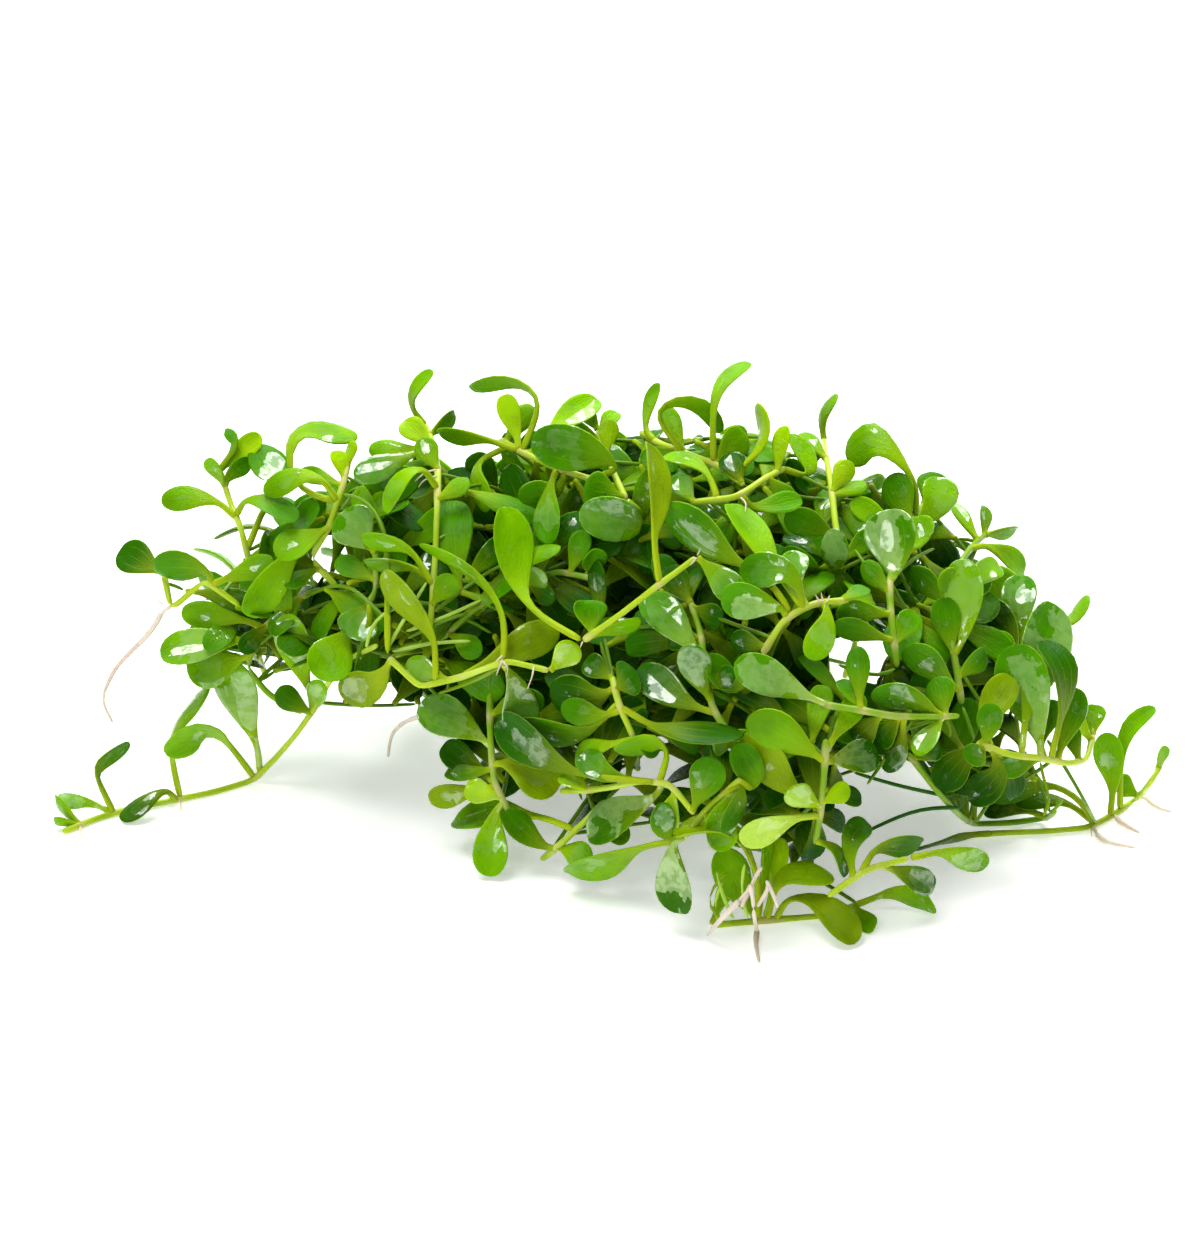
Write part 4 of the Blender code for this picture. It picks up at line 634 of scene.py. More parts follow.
def read_places(text: str) -> Places:
    """Reads places that are written across,down or across,down,inset."""
    return tuple(tuple(float(value) for value in place.split(",")) for place in text.split())


@dataclass(frozen=True)
class LeafRow:
    """A leaf as the photograph shows it; wet counts the pluses of its film of water."""

    points: Places
    wide: float
    tip: float
    tone: Tone
    wet: int

    @classmethod
    def read(cls, text: str) -> "LeafRow":
        """Reads a leaf's places, its width, its tip's depth and its tone."""
        *places, wide, tip, tone = text.split()
        return cls(read_places(" ".join(places)), float(wide), float(tip), Tone.of(tone[0]),
                   tone.count("+"))


@dataclass(frozen=True)
class PlantRow:
    """A plant as the photograph shows it: its stem's route and its leaves."""

    name: str
    free: bool
    green: bool
    stem: Places
    leaves: tuple[LeafRow, ...]

    @classmethod
    def read_all(cls, text: str) -> Iterator["PlantRow"]:
        """Reads every plant of a text.

        Args:
            text: The plants, with an empty line between each two.

        Returns:
            The plants, one after another.
        """
        for block in text.strip().split("\n\n"):
            head, routes = block.split(":")
            stem, leaves = routes.split("|")
            name, *kinds = head.split()
            rows = tuple(LeafRow.read(row) for row in leaves.split(";"))
            yield cls(name, "free" in kinds, "green" in kinds, read_places(stem), rows)


@dataclass
class Section:
    """One cross-section of a leaf: where it lies, how it is turned and how large it is."""

    centre: Vector
    side: Vector
    normal: Vector
    half: float
    thick: float
    cup: float
    groove: float = 0.45  # how deep the middle groove is, in thicknesses
    groove_half: float = 0.4  # half the groove's width, in halves of the section's

    def place(self, x: float, z: float) -> Vector:
        """Where a point of the pattern's section comes to lie.

        Args:
            x: Its place across, from -1 to 1.
            z: Its place through the leaf, from -1 to 1.

        Returns:
            The point.
        """
        grooved = (z > 0) * (self.cup > 0)
        groove = self.groove * self.thick * (1 - min(abs(x) / self.groove_half, 1)) * grooved
        rise = self.thick * z + self.cup * self.half * x * x - groove
        return self.centre + self.side * self.half * x + self.normal * rise


@dataclass
class LeafShape:
    """A leaf in the clump: a stalk that widens into a spoon-shaped blade.

    Its chance, from 0 to 1, sets what differs from leaf to leaf.
    """

    route: Route
    facing: Vector
    roll: float
    width: float
    tone: Tone
    wet: float
    chance: float
    young: bool = False
    # painted shade: how much middle and deep green leaves are darkened at the ground, and the height where it
    # fades out
    painted_shade: float = 0.55
    painted_shade_below: float = 22 * MM
    stalk: float = 0.24 * MM
    stalk_flare: float = 1.15
    thick: float = 0.21 * MM
    thinning: float = 0.45
    fullness: float = 1.2  # makes up for what smoothing takes off
    narrow: float = 2.4 * MM
    narrow_blade: float = 0.64
    most_blade: float = 0.86
    slimness: float = 2.1  # the blade's length in widths
    widest: float = 0.6  # where along the blade it is widest
    twist: float = 0.9
    least_half: float = 0.2 * MM  # what the room under a section is measured by, at least

    @property
    def tint(self) -> Vector:
        """The leaf's colour; green leaves get painted shade, darker the lower they grow.

        Returns:
            The colour.
        """
        colour = self.tone.colour * (0.85 + 0.3 * self.chance)
        if self.tone in (Tone.MIDDLE, Tone.DEEP):
            low = max(1 - self.route.points[-1].z / self.painted_shade_below, 0)
            colour *= 1 - self.painted_shade * low
        return colour

    @property
    def blade(self) -> float:
        """The blade's length: more of the leaf where that is narrow."""
        least = self.narrow_blade * self.route.length if self.width < self.narrow else 0
        return min(max(self.slimness * self.width, least), self.most_blade * self.route.length)

    def outline(self, share: float) -> float:
        """Half the blade's width at a share of its length.

        Args:
            share: 0 at the blade's foot, 1 at its tip.

        Returns:
            Half the width, in metres.
        """
        half, stalk = self.width / 2, self.stalk * self.stalk_flare
        if share < self.widest:
            grown = share / self.widest
            grown = (grown * grown * (3 - 2 * grown)) ** 0.8
            return stalk + (half - stalk) * grown
        bluntness = 1.8 + 0.8 * self.chance
        past = (share - self.widest) / (1 - self.widest)
        return half * math.sqrt(max(1 - past**bluntness, 0))

    def section(self, station: float) -> Section:
        """The leaf's section at a station: 0 to 1 along the stalk, 1 to 2 along the blade.

        Args:
            station: How far along the pattern the section is.

        Returns:
            The section, turned and sized.
        """
        share = max(station - 1, 0)
        distance = (self.route.length - self.blade) * min(station, 1) + self.blade * share
        centre, tangent = self.route.at(distance)
        if share:
            half, thick = self.outline(share), self.thick * (1 - self.thinning * share**3)
        else:
            half, thick = (self.stalk * (size - 0.2 * station) for size in (1.25, 1.2))
        bend = (self.chance - 0.5) * self.twist * share
        side, normal = self.frame(tangent, centre, max(half, self.least_half), self.roll + bend)
        hollow = 0.12 + 0.32 * self.chance if self.chance > 0.3 else -0.55 * self.chance
        cup = hollow * min(share * 2.5, 1)
        return Section(centre, side, normal, half * self.fullness, thick * self.fullness, cup)

    def frame(self, tangent: Vector, centre: Vector, half: float,
              roll: float) -> tuple[Vector, Vector]:
        """The blade's sideways direction and its upper normal, laid down where it meets the ground.

        Args:
            tangent: The way the leaf runs.
            centre: The section's middle.
            half: Half the section's width.
            roll: How far it is turned about its middle line.

        Returns:
            The direction across the blade, and the one that its upper side faces.
        """
        side = self.facing.cross(tangent).normalized()
        side = side * math.cos(roll) + tangent.cross(side) * math.sin(roll)
        room = max(centre.z, self.least_half) / half
        flat = tangent.cross(Vector((0, 0, 1)))
        if abs(side.z) > room and flat.length > 0.2:
            flat.normalize()
            flat = flat if flat.dot(side) > 0 else -flat
            steep = flat.cross(tangent)
            steep = steep if steep.z * side.z > 0 else -steep
            raised = min(room / max(abs(steep.z), 1e-6), 1)
            side = (flat * math.sqrt(1 - raised**2) + steep * raised).normalized()
        normal = tangent.cross(side).normalized()
        return side, normal if normal.dot(self.facing) > 0 else -normal


def drawn_out(shape: bmesh.types.BMesh, edges: list) -> tuple[list, list]:
    """Extrudes a ring of edges, without moving what it makes.

    Args:
        shape: The mesh.
        edges: The ring.

    Returns:
        The new ring's edges and its corners.
    """
    made = bmesh.ops.extrude_edge_only(shape, edges=edges)["geom"]
    return ([part for part in made if isinstance(part, bmesh.types.BMEdge)],
            [part for part in made if isinstance(part, bmesh.types.BMVert)])


@dataclass(frozen=True)
class LeafPattern:
    """The leaf that all others are bent from: x across it, y along its stations, z through it."""

    sides: int = 8
    stations: tuple[float, ...] = (0.0, 0.3, 0.65, 1.0, 1.26, 1.55, 1.8, 1.95, 2.0)

    def mesh(self) -> bpy.types.Mesh:
        """Draws the pattern out ring by ring, and closes its root and its tip.

        Returns:
            The pattern's mesh.
        """
        shape = bmesh.new()
        upright = Matrix.Rotation(math.radians(90), 4, "X")
        bmesh.ops.create_circle(shape, segments=self.sides, radius=1, matrix=upright)
        edges = shape.edges[:]
        bmesh.ops.edgeloop_fill(shape, edges=edges)
        for near, far in zip(self.stations, self.stations[1:]):
            edges, corners = drawn_out(shape, edges)
            bmesh.ops.translate(shape, verts=corners, vec=(0, far - near, 0))
        bmesh.ops.pointmerge(shape, verts=corners, merge_co=(0, self.stations[-1], 0))
        bmesh.ops.recalc_face_normals(shape, faces=shape.faces[:])
        return mesh_of("leaf_pattern", shape)


class Dress:
    """The values that a plant's mesh carries for its finish, corner by corner."""

    FLOATS = ("along", "across", "under", "chance", "wet", "joint")

    def __init__(self, shape: bmesh.types.BMesh) -> None:
        """Gives a mesh the layers that hold the values."""
        self.floats = {name: shape.verts.layers.float.new(name) for name in self.FLOATS}
        self.tint = shape.verts.layers.float_color.new("tint")

    def put(self, corner: bmesh.types.BMVert, tint: Vector, **values: float) -> None:
        """Writes a corner's values.

        Args:
            corner: The corner.
            tint: Its colour.
            values: Its other values, by name.
        """
        corner[self.tint] = (*tint, 1)
        for name, value in values.items():
            corner[self.floats[name]] = value


def kept_inside(point: Vector) -> Vector:
    """A point of a piece, centred with the clump and held inside the solids' box."""
    low, high = CAD_BOX
    return Vector(min(max(value, low[i]), high[i]) for i, value in enumerate(point + CENTRING))


def turn_outward(shape: bmesh.types.BMesh, first: int) -> None:
    """Makes the faces of a closed form point outwards.

    Args:
        shape: The mesh that holds the form.
        first: The number of the form's first face; it has all from there on.
    """
    shape.faces.ensure_lookup_table()
    faces = shape.faces[first:]
    volume = 0.0
    for face in faces:
        start, *others = [corner.co for corner in face.verts]
        volume += sum(start.dot(near.cross(far)) for near, far in zip(others, others[1:]))
    if volume < 0:
        bmesh.ops.reverse_faces(shape, faces=faces)


@dataclass
class Strand:
    """A round stem or root, drawn as rings along its route."""

    route: Route
    radius: float
    end_radius: float
    tint: Vector
    sides: int = 6
    spacing: float = 1.0 * MM
    joints: tuple[float, ...] = ()
    swell: float = 0.30
    swell_reach: float = 0.45 * MM
    fullness: float = 1.12  # makes up for what smoothing takes off
    wet: float = 0.3

    def near_joint(self, distance: float) -> float:
        """How close a place along the strand is to one of its joints, from 0 to 1."""
        return max((math.exp(-((distance - joint) / self.swell_reach) ** 2)
                    for joint in self.joints), default=0)

    def ring(self, distance: float) -> Matrix:
        """The ring at a distance along the strand.

        Args:
            distance: Metres from its start.

        Returns:
            The ring's place, turn and size.
        """
        centre, tangent = self.route.at(distance)
        radius = self.radius + (self.end_radius - self.radius) * distance / self.route.length
        radius *= self.fullness * (1 + self.swell * self.near_joint(distance))
        turn = tangent.to_track_quat("Z", "Y").to_matrix().to_4x4()
        return Matrix.Translation(centre) @ turn @ Matrix.Diagonal((radius, radius, radius, 1))

    def draw(self, shape: bmesh.types.BMesh, dress: Dress) -> None:
        """Draws the strand into a mesh.

        Args:
            shape: The plant's mesh.
            dress: Its layers.
        """
        first = len(shape.faces)
        count = max(round(self.route.length / self.spacing), 2)
        last = self.ring(0)
        made = bmesh.ops.create_circle(shape, segments=self.sides, radius=1, matrix=last)["verts"]
        edges = list({edge for corner in made for edge in corner.link_edges})
        bmesh.ops.edgeloop_fill(shape, edges=edges)
        self.mark(made, dress, 0)
        for step in range(1, count + 1):
            distance = self.route.length * step / count
            edges, made = drawn_out(shape, edges)
            ring = self.ring(distance)
            bmesh.ops.transform(shape, matrix=ring @ last.inverted(), verts=made)
            self.mark(made, dress, distance)
            last = ring
        bmesh.ops.edgeloop_fill(shape, edges=edges)
        shape.faces.ensure_lookup_table()
        bmesh.ops.recalc_face_normals(shape, faces=shape.faces[first:])
        turn_outward(shape, first)

    def mark(self, ring: list, dress: Dress, distance: float) -> None:
        """Writes the values of a ring.

        Args:
            ring: Its corners.
            dress: The mesh's layers.
            distance: Its distance from the strand's start.
        """
        share, joint = distance / self.route.length, self.near_joint(distance)
        for corner in ring:
            dress.put(corner, self.tint, along=share, joint=joint, wet=self.wet)


class Signal:
    """What a node puts out, with the arithmetic that the effects are written in."""

    def __init__(self, web: "Web", socket: bpy.types.NodeSocket) -> None:
        """Keeps an output and the tree that it is in."""
        self.web, self.socket = web, socket

    def __add__(self, other: "Input") -> "Signal":
        """The sum."""
        return self.web.maths("ADD", self, other)

    def __sub__(self, other: "Input") -> "Signal":
        """The difference."""
        return self.web.maths("SUBTRACT", self, other)

    def __rsub__(self, other: float) -> "Signal":
        """The difference from a number."""
        return self.web.maths("SUBTRACT", other, self)

    def __mul__(self, other: "Input") -> "Signal":
        """The product."""
        return self.web.maths("MULTIPLY", self, other)


Input = Signal | float | Colour


class Web:
    """A tree of nodes, with short ways to add the usual ones."""

    def __init__(self, tree: bpy.types.NodeTree) -> None:
        """Takes the tree that the nodes go into."""
        self.tree = tree

    def plug(self, node: bpy.types.Node, inputs: dict[str | int, Input]) -> None:
        """Feeds a node.

        Args:
            node: The node.
            inputs: What its inputs get, by name or number.
        """
        for key, value in inputs.items():
            socket = node.inputs[key]
            if isinstance(value, Signal):
                self.tree.links.new(value.socket, socket)
            else:
                socket.default_value = (*value, 1) if socket.type == "RGBA" else value

    def node(self, kind: str, inputs: dict[str | int, Input], output: str | int = 0,
             **settings: object) -> Signal:
        """Adds a node.

        Args:
            kind: Its kind.
            inputs: What its inputs get, by name or number.
            output: The name or number of the output that is used.
            settings: Its other settings.

        Returns:
            That output.
        """
        node = self.tree.nodes.new(f"ShaderNode{kind}")
        for name, value in settings.items():
            setattr(node, name, value)
        self.plug(node, inputs)
        return Signal(self, node.outputs[output])

    def maths(self, operation: str, *values: Input) -> Signal:
        """A Math node's result."""
        return self.node("Math", dict(enumerate(values)), operation=operation)

    def mix(self, first: Input, second: Input, share: Input) -> Signal:
        """Two colours mixed by a share."""
        return self.node("Mix", {"Factor": share, 6: first, 7: second}, 2, data_type="RGBA")

    def hue(self, colour: Signal, hue: float, rich: float, light: float) -> Signal:
        """A colour turned, enriched and lightened."""
        changes = {"Hue": hue, "Saturation": rich, "Value": light}
        return self.node("HueSaturation", {**changes, "Color": colour}, "Color")

    def between(self, share: Signal, low: float, high: float) -> Signal:
        """A value that runs from low to high with a share."""
        return self.node("MapRange", {"Value": share, "To Min": low, "To Max": high}, "Result")

    def step(self, value: Signal, low: Input, high: Input, kind: str = "SMOOTHSTEP") -> Signal:
        """A value turned into a mask that rises from low to high."""
        return self.node("MapRange", {"Value": value, "From Min": low, "From Max": high},
                         "Result", interpolation_type=kind)

    def noise(self, place: Signal, scale: Input, detail: float, offset: Signal,
              ragged: float = 0.5) -> Signal:
        """A noise's value, moved by an offset so that each leaf has its own."""
        return self.node("TexNoise", {"Vector": place, "Scale": scale, "Detail": detail,
                                      "Roughness": ragged, "W": offset}, noise_dimensions="4D")


class Skin(Web):
    """A material's nodes, which end in one shader."""

    def __init__(self, name: str) -> None:
        """Starts a material with a plain shader.

        Args:
            name: The material's name.
        """
        self.material = bpy.data.materials.new(name)
        self.material.use_nodes = True
        super().__init__(self.material.node_tree)
        self.place = self.node("TexCoord", {}, "Object")

    def carried(self, name: str, output: str = "Fac") -> Signal:
        """A value that the mesh carries."""
        return self.node("Attribute", {}, output, attribute_name=name)

    def group(self, tree: bpy.types.NodeTree, **inputs: Input) -> dict[str, Signal]:
        """Places a shared effect.

        Args:
            tree: The effect.
            inputs: What its inputs get.

        Returns:
            Its outputs, by name.
        """
        node = self.tree.nodes.new("ShaderNodeGroup")
        node.node_tree = tree
        self.plug(node, inputs)
        return {output.name: Signal(self, output) for output in node.outputs}

    def patched(self, mottle: dict[str, Signal], light: Colour, dark: Colour) -> Signal:
        """The mesh's own colour with lighter and darker patches.

        Args:
            mottle: Where the patches are.
            light: The lighter patches' hue, richness and lightness beside that colour's.
            dark: Those of the darker ones.

        Returns:
            The patched colour.
        """
        tint = self.carried("tint", "Color")
        lit = self.mix(tint, self.hue(tint, *light), mottle["Light"])
        return self.mix(lit, self.hue(tint, *dark), mottle["Dark"])

    def bump(self, height: Signal, distance: float, strength: float = 1.0) -> Signal:
        """The surface's normal, raised by a height."""
        return self.node("Bump", {"Distance": distance, "Strength": strength, "Height": height})

    def finished(self, inputs: dict[str, Input]) -> bpy.types.Material:
        """Feeds the shader, and gives the material."""
        self.plug(self.tree.nodes["Principled BSDF"], inputs)
        return self.material


def effect(name: str, build: Callable[..., dict[str, Signal]], *labels: str) -> bpy.types.NodeTree:
    """Builds a shared effect.

    Args:
        name: Its name.
        build: What makes its outputs, by name, from its tree and its inputs.
        labels: The names of its inputs.

    Returns:
        Its node group.
    """
    tree = bpy.data.node_groups.new(name, "ShaderNodeTree")
    for label in labels:
        kind = "NodeSocketVector" if label == "Vector" else "NodeSocketFloat"
        tree.interface.new_socket(label, in_out="INPUT", socket_type=kind)
    web = Web(tree)
    given = tree.nodes.new("NodeGroupInput")
    made = build(web, *(Signal(web, given.outputs[label]) for label in labels))
    for label in made:
        tree.interface.new_socket(label, in_out="OUTPUT", socket_type="NodeSocketFloat")
    web.plug(tree.nodes.new("NodeGroupOutput"), made)
    return tree


class Effects:
    """The shared effects, each a node group that is built once."""

    def __init__(self) -> None:
        """Builds the groups."""
        self.mottle = effect("mottle", self.mottled, "Vector", "Scale", "Chance")
        self.veins = effect("veins", self.veined, "Along", "Across", "Chance")
        self.film = effect("water_film", self.filmed, "Vector", "Wet", "Chance", "Middle")
        self.relief = effect("leaf_relief", self.raised, "Grain", "Vein", "Streak", "Film",
                             "Water")

    @staticmethod
    def mottled(web: Web, place: Signal, scale: Signal, chance: Signal) -> dict[str, Signal]:
        """Light and dark patches and a fine grain.

        Args:
            web: The group's nodes.
            place: Where on the piece it is.
            scale: How fine the patches are.
            chance: What differs from leaf to leaf.

        Returns:
            The outputs, by name.
        """
        offset = chance * 40.0
        broad = web.noise(place, scale * 0.35, 2, offset)
        return {"Light": web.step(broad, 0.48, 0.80) * 0.7,
                "Dark": web.step(broad, 0.52, 0.25) * 0.6,
                "Grain": web.noise(place, scale * 4.0, 3, offset)}

    @staticmethod
    def veined(web: Web, along: Signal, across: Signal, chance: Signal) -> dict[str, Signal]:
        """Faint veins, gloss streaks, the pale stalk, the painted rim highlight and the blade's middle.

        Args:
            web: The group's nodes.
            along: The place along the leaf, from 0 to 1.
            across: The place across it, from -1 to 1.
            chance: What differs from leaf to leaf.

        Returns:
            The outputs, by name.
        """
        wide = web.maths("ABSOLUTE", across)
        lines = web.step(web.maths("PINGPONG", wide * 4.0, 1.0), 0.16, 0.0)
        flat = web.node("CombineXYZ", {0: across * 4.5, 1: along * 5.0})
        streak = web.noise(flat, 1.6, 4, chance * 50.0)
        off_middle = web.maths("ABSOLUTE", along - 0.78) * 1.6 + wide * 0.22
        return {"Vein": lines * web.step(along, 0.98, 0.70) * 0.22,
                "Stalk": web.step(along, 0.85, 0.45) * 0.35 + web.step(along, 0.60, 0.05) * 0.50,
                # painted rim highlight along the blade's edges
                "Rim": web.step(wide, 0.86, 1.0) * 0.40,
                "Streak": web.step(streak, 0.30, 0.70),
                "Middle": web.step(off_middle, 0.42, 0.0, "LINEAR")}

    @staticmethod
    def filmed(web: Web, place: Signal, wet: Signal, chance: Signal,
               middle: Signal) -> dict[str, Signal]:
        """A film of water with a sharp uneven edge, and small drops.

        Args:
            web: The group's nodes.
            place: Where on the piece it is.
            wet: How much of the leaf the film covers.
            chance: What differs from leaf to leaf.
            middle: Where the blade's middle is, which the film keeps to.

        Returns:
            The outputs, by name.
        """
        offset = chance * 17.0
        broad = web.noise(place, 340.0, 7, offset, 0.56) + middle * 0.22
        level = 0.86 - web.maths("MINIMUM", wet, 0.98) * 0.34
        film = web.step(broad, level, level + 0.015)
        dots = web.node("TexVoronoi", {"Scale": 1100.0, "Vector": place}, "Distance")
        few = web.step(web.noise(place, 420.0, 1, offset), 0.62, 0.64)
        drop = web.step(dots, 0.22, 0.05) * few
        swell = web.noise(place, 800.0, 4, offset, 0.6)
        # fine frosted speckles of the film, which the leaf finish also paints paler as a painted reflection
        frost = web.noise(place, 1500.0, 4, offset, 0.6)
        return {"Film": web.maths("MAXIMUM", film, web.step(drop, 0.1, 0.2)),
                "Height": web.maths("MAXIMUM", film * (swell + 0.7), drop),
                "Frost": web.step(frost, 0.44, 0.54)}

    @staticmethod
    def raised(web: Web, grain: Signal, vein: Signal, streak: Signal, film: Signal,
               water: Signal) -> dict[str, Signal]:
        """The leaf's relief: grain and sunken veins where it is dry, smooth water where not."""
        dry = grain * 0.9 + (streak * 0.35 - vein)
        return {"Height": dry * (1.0 - film * 0.8) + water * 0.8}


@dataclass(frozen=True)
class LeafFinish:
    """Soft green leaf flesh, faint veins, a thin painted rim highlight, water film in patches with painted
    reflections.
    """

    roughness: float = 0.24
    gloss: float = 0.12
    mottle_scale: float = 900.0
    flesh: float = 0.08
    vein: Colour = (0.36, 0.56, 0.01)
    stalk: Colour = (0.42, 0.53, 0.01)
    # painted rim highlight: the blade's edges painted lighter
    rim: Colour = (0.44, 0.68, 0.03)
    below: Colour = (0.17, 0.35, 0.006)
    # painted reflections: the milky film and its frosted speckles painted paler
    milky_reflection: Colour = (0.48, 0.72, 0.24)
    frost: Colour = (0.40, 0.60, 0.15)

    def material(self, effects: Effects) -> bpy.types.Material:
        """Builds the finish.

        Args:
            effects: The shared effects.

        Returns:
            The material.
        """
        skin = Skin("leaf_flesh")
        along, across, under, chance, wet = map(
            skin.carried, ("along", "across", "under", "chance", "wet"))
        mottle = skin.group(effects.mottle, Vector=skin.place, Scale=self.mottle_scale,
                            Chance=chance)
        veins = skin.group(effects.veins, Along=along, Across=across, Chance=chance)
        water = skin.group(effects.film, Vector=skin.place, Wet=wet, Chance=chance,
                           Middle=veins["Middle"])
        film, frost, square = water["Film"], water["Frost"], wet * wet
        # painted reflection: a full film painted milky, and its frosted speckles painted paler below
        milky_reflection = film * (square * square * skin.between(frost, 0.065, 0.095))
        colour = skin.patched(mottle, (0.485, 1.0, 1.4), (0.505, 1.0, 0.5))
        for tone, share in (
            (self.vein, veins["Vein"]), (self.stalk, veins["Stalk"]), (self.rim, veins["Rim"]),
            (self.below, under * 0.50), (self.milky_reflection, milky_reflection), (self.frost, film * frost * 0.07),
        ):
            colour = skin.mix(colour, tone, share)
        relief = skin.group(effects.relief, Grain=mottle["Grain"], Vein=veins["Vein"],
                            Streak=veins["Streak"], Film=film, Water=water["Height"])
        dry = skin.between(veins["Streak"], self.gloss, self.roughness)
        return skin.finished({
            "Base Color": colour, "Roughness": dry * skin.between(film, 1.0, 0.4),
            "Coat Weight": film * skin.between(frost, 0.35, 1.0), "Coat Roughness": 0.025,
            "Coat IOR": 1.8, "Specular IOR Level": 0.06, "Subsurface Weight": self.flesh,
            "Subsurface Radius": (0.5, 1.0, 0.2), "Subsurface Scale": 0.0006,
            "Normal": skin.bump(relief["Height"], 0.00007),
        })


@dataclass(frozen=True)
class StemFinish:
    """Juicy yellow-green stems, streaked, and paler and browner at the joints."""

    roughness: float = 0.3
    wet_roughness: float = 0.08
    streak_scale: float = 700.0
    joint: Colour = (0.62, 0.52, 0.22)

    def material(self, effects: Effects) -> bpy.types.Material:
        """Builds the finish.

        Args:
            effects: The shared effects.

        Returns:
            The material.
        """
        skin = Skin("stem_flesh")
        joint = skin.carried("joint")
        mottle = skin.group(effects.mottle, Vector=skin.place, Scale=self.streak_scale,
                            Chance=0.5)
        film = skin.group(effects.film, Vector=skin.place, Wet=0.6, Chance=0.5)["Film"]
        colour = skin.patched(mottle, (0.495, 0.85, 1.35), (0.52, 1.1, 0.65))
        return skin.finished({
            "Base Color": skin.mix(colour, self.joint, joint * joint * 0.65),
            "Roughness": skin.between(film, self.roughness, self.wet_roughness),
            "Coat Weight": film, "Coat Roughness": 0.04, "Specular IOR Level": 0.15,
            "Subsurface Weight": 0.15, "Subsurface Radius": (0.8, 1.0, 0.3),
            "Subsurface Scale": 0.0006, "Normal": skin.bump(mottle["Grain"], 0.00004, 0.8),
        })


@dataclass(frozen=True)
class RootFinish:
    """Cream roots with paler and browner patches, browner to their ends, and wet in places."""

    roughness: float = 0.35
    wet_roughness: float = 0.1
    mottle_scale: float = 1100.0
    pale: Colour = (0.86, 0.80, 0.70)
    brown: Colour = (0.58, 0.47, 0.36)
    aged: Colour = (0.56, 0.45, 0.34)

    def material(self, effects: Effects) -> bpy.types.Material:
        """Builds the finish.

        Args:
            effects: The shared effects.

        Returns:
            The material.
        """
        skin = Skin("root_skin")
        mottle = skin.group(effects.mottle, Vector=skin.place, Scale=self.mottle_scale,
                            Chance=0.3)
        film = skin.group(effects.film, Vector=skin.place, Wet=0.5, Chance=0.2)["Film"]
        colour = skin.carried("tint", "Color")
        for tone, share in ((self.pale, mottle["Light"]), (self.brown, mottle["Dark"]),
                            (self.aged, skin.carried("along") * 0.20)):
            colour = skin.mix(colour, tone, share)
        return skin.finished({
            "Base Color": colour,
            "Roughness": skin.between(film, self.roughness, self.wet_roughness),
            "Subsurface Weight": 0.2, "Subsurface Scale": 0.0005,
            "Normal": skin.bump(mottle["Grain"], 0.00005),
        })


@dataclass(frozen=True)
class FloorFinish:
    """A plain pale matt surface that glows faintly, as a light table does."""

    roughness: float = 0.6
    glow: float = 0.42
    mottle_scale: float = 30.0
    pale: Colour = (0.93, 0.93, 0.93)
    greyer: Colour = (0.90, 0.90, 0.90)

    def material(self, effects: Effects) -> bpy.types.Material:
        """Builds the finish.

        Args:
            effects: The shared effects.

        Returns:
            The material.
        """
        skin = Skin("pale_floor")
        mottle = skin.group(effects.mottle, Vector=skin.place, Scale=self.mottle_scale,
                            Chance=0.5)
        return skin.finished({
            "Base Color": skin.mix(self.pale, self.greyer, mottle["Light"]),
            "Roughness": self.roughness, "Specular IOR Level": 0.2,
            "Emission Color": (1, 1, 1), "Emission Strength": self.glow,
        })


def finished_piece(name: str, shape: bmesh.types.BMesh, finishes: list[bpy.types.Material]) -> bpy.types.Object:
    """Makes a plant's mesh an object that stands for its solid.

    Args:
        name: The solid's name.
        shape: The mesh so far, which is freed.
        finishes: The materials, in the order of the faces' numbers.

    Returns:
        The piece.
    """
    for corner in shape.verts:
        corner.co = kept_inside(corner.co)
    for face in shape.faces:
        face.smooth = True
    data = mesh_of(f"{name}_form", shape)
    for finish in finishes:
        data.materials.append(finish)
    piece = linked(f"{name}_grown", data)
    smoothing = piece.modifiers.new("smoothing", "SUBSURF")
    smoothing.levels = smoothing.render_levels = 1
    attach(piece, "root")
    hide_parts(name)
    return piece


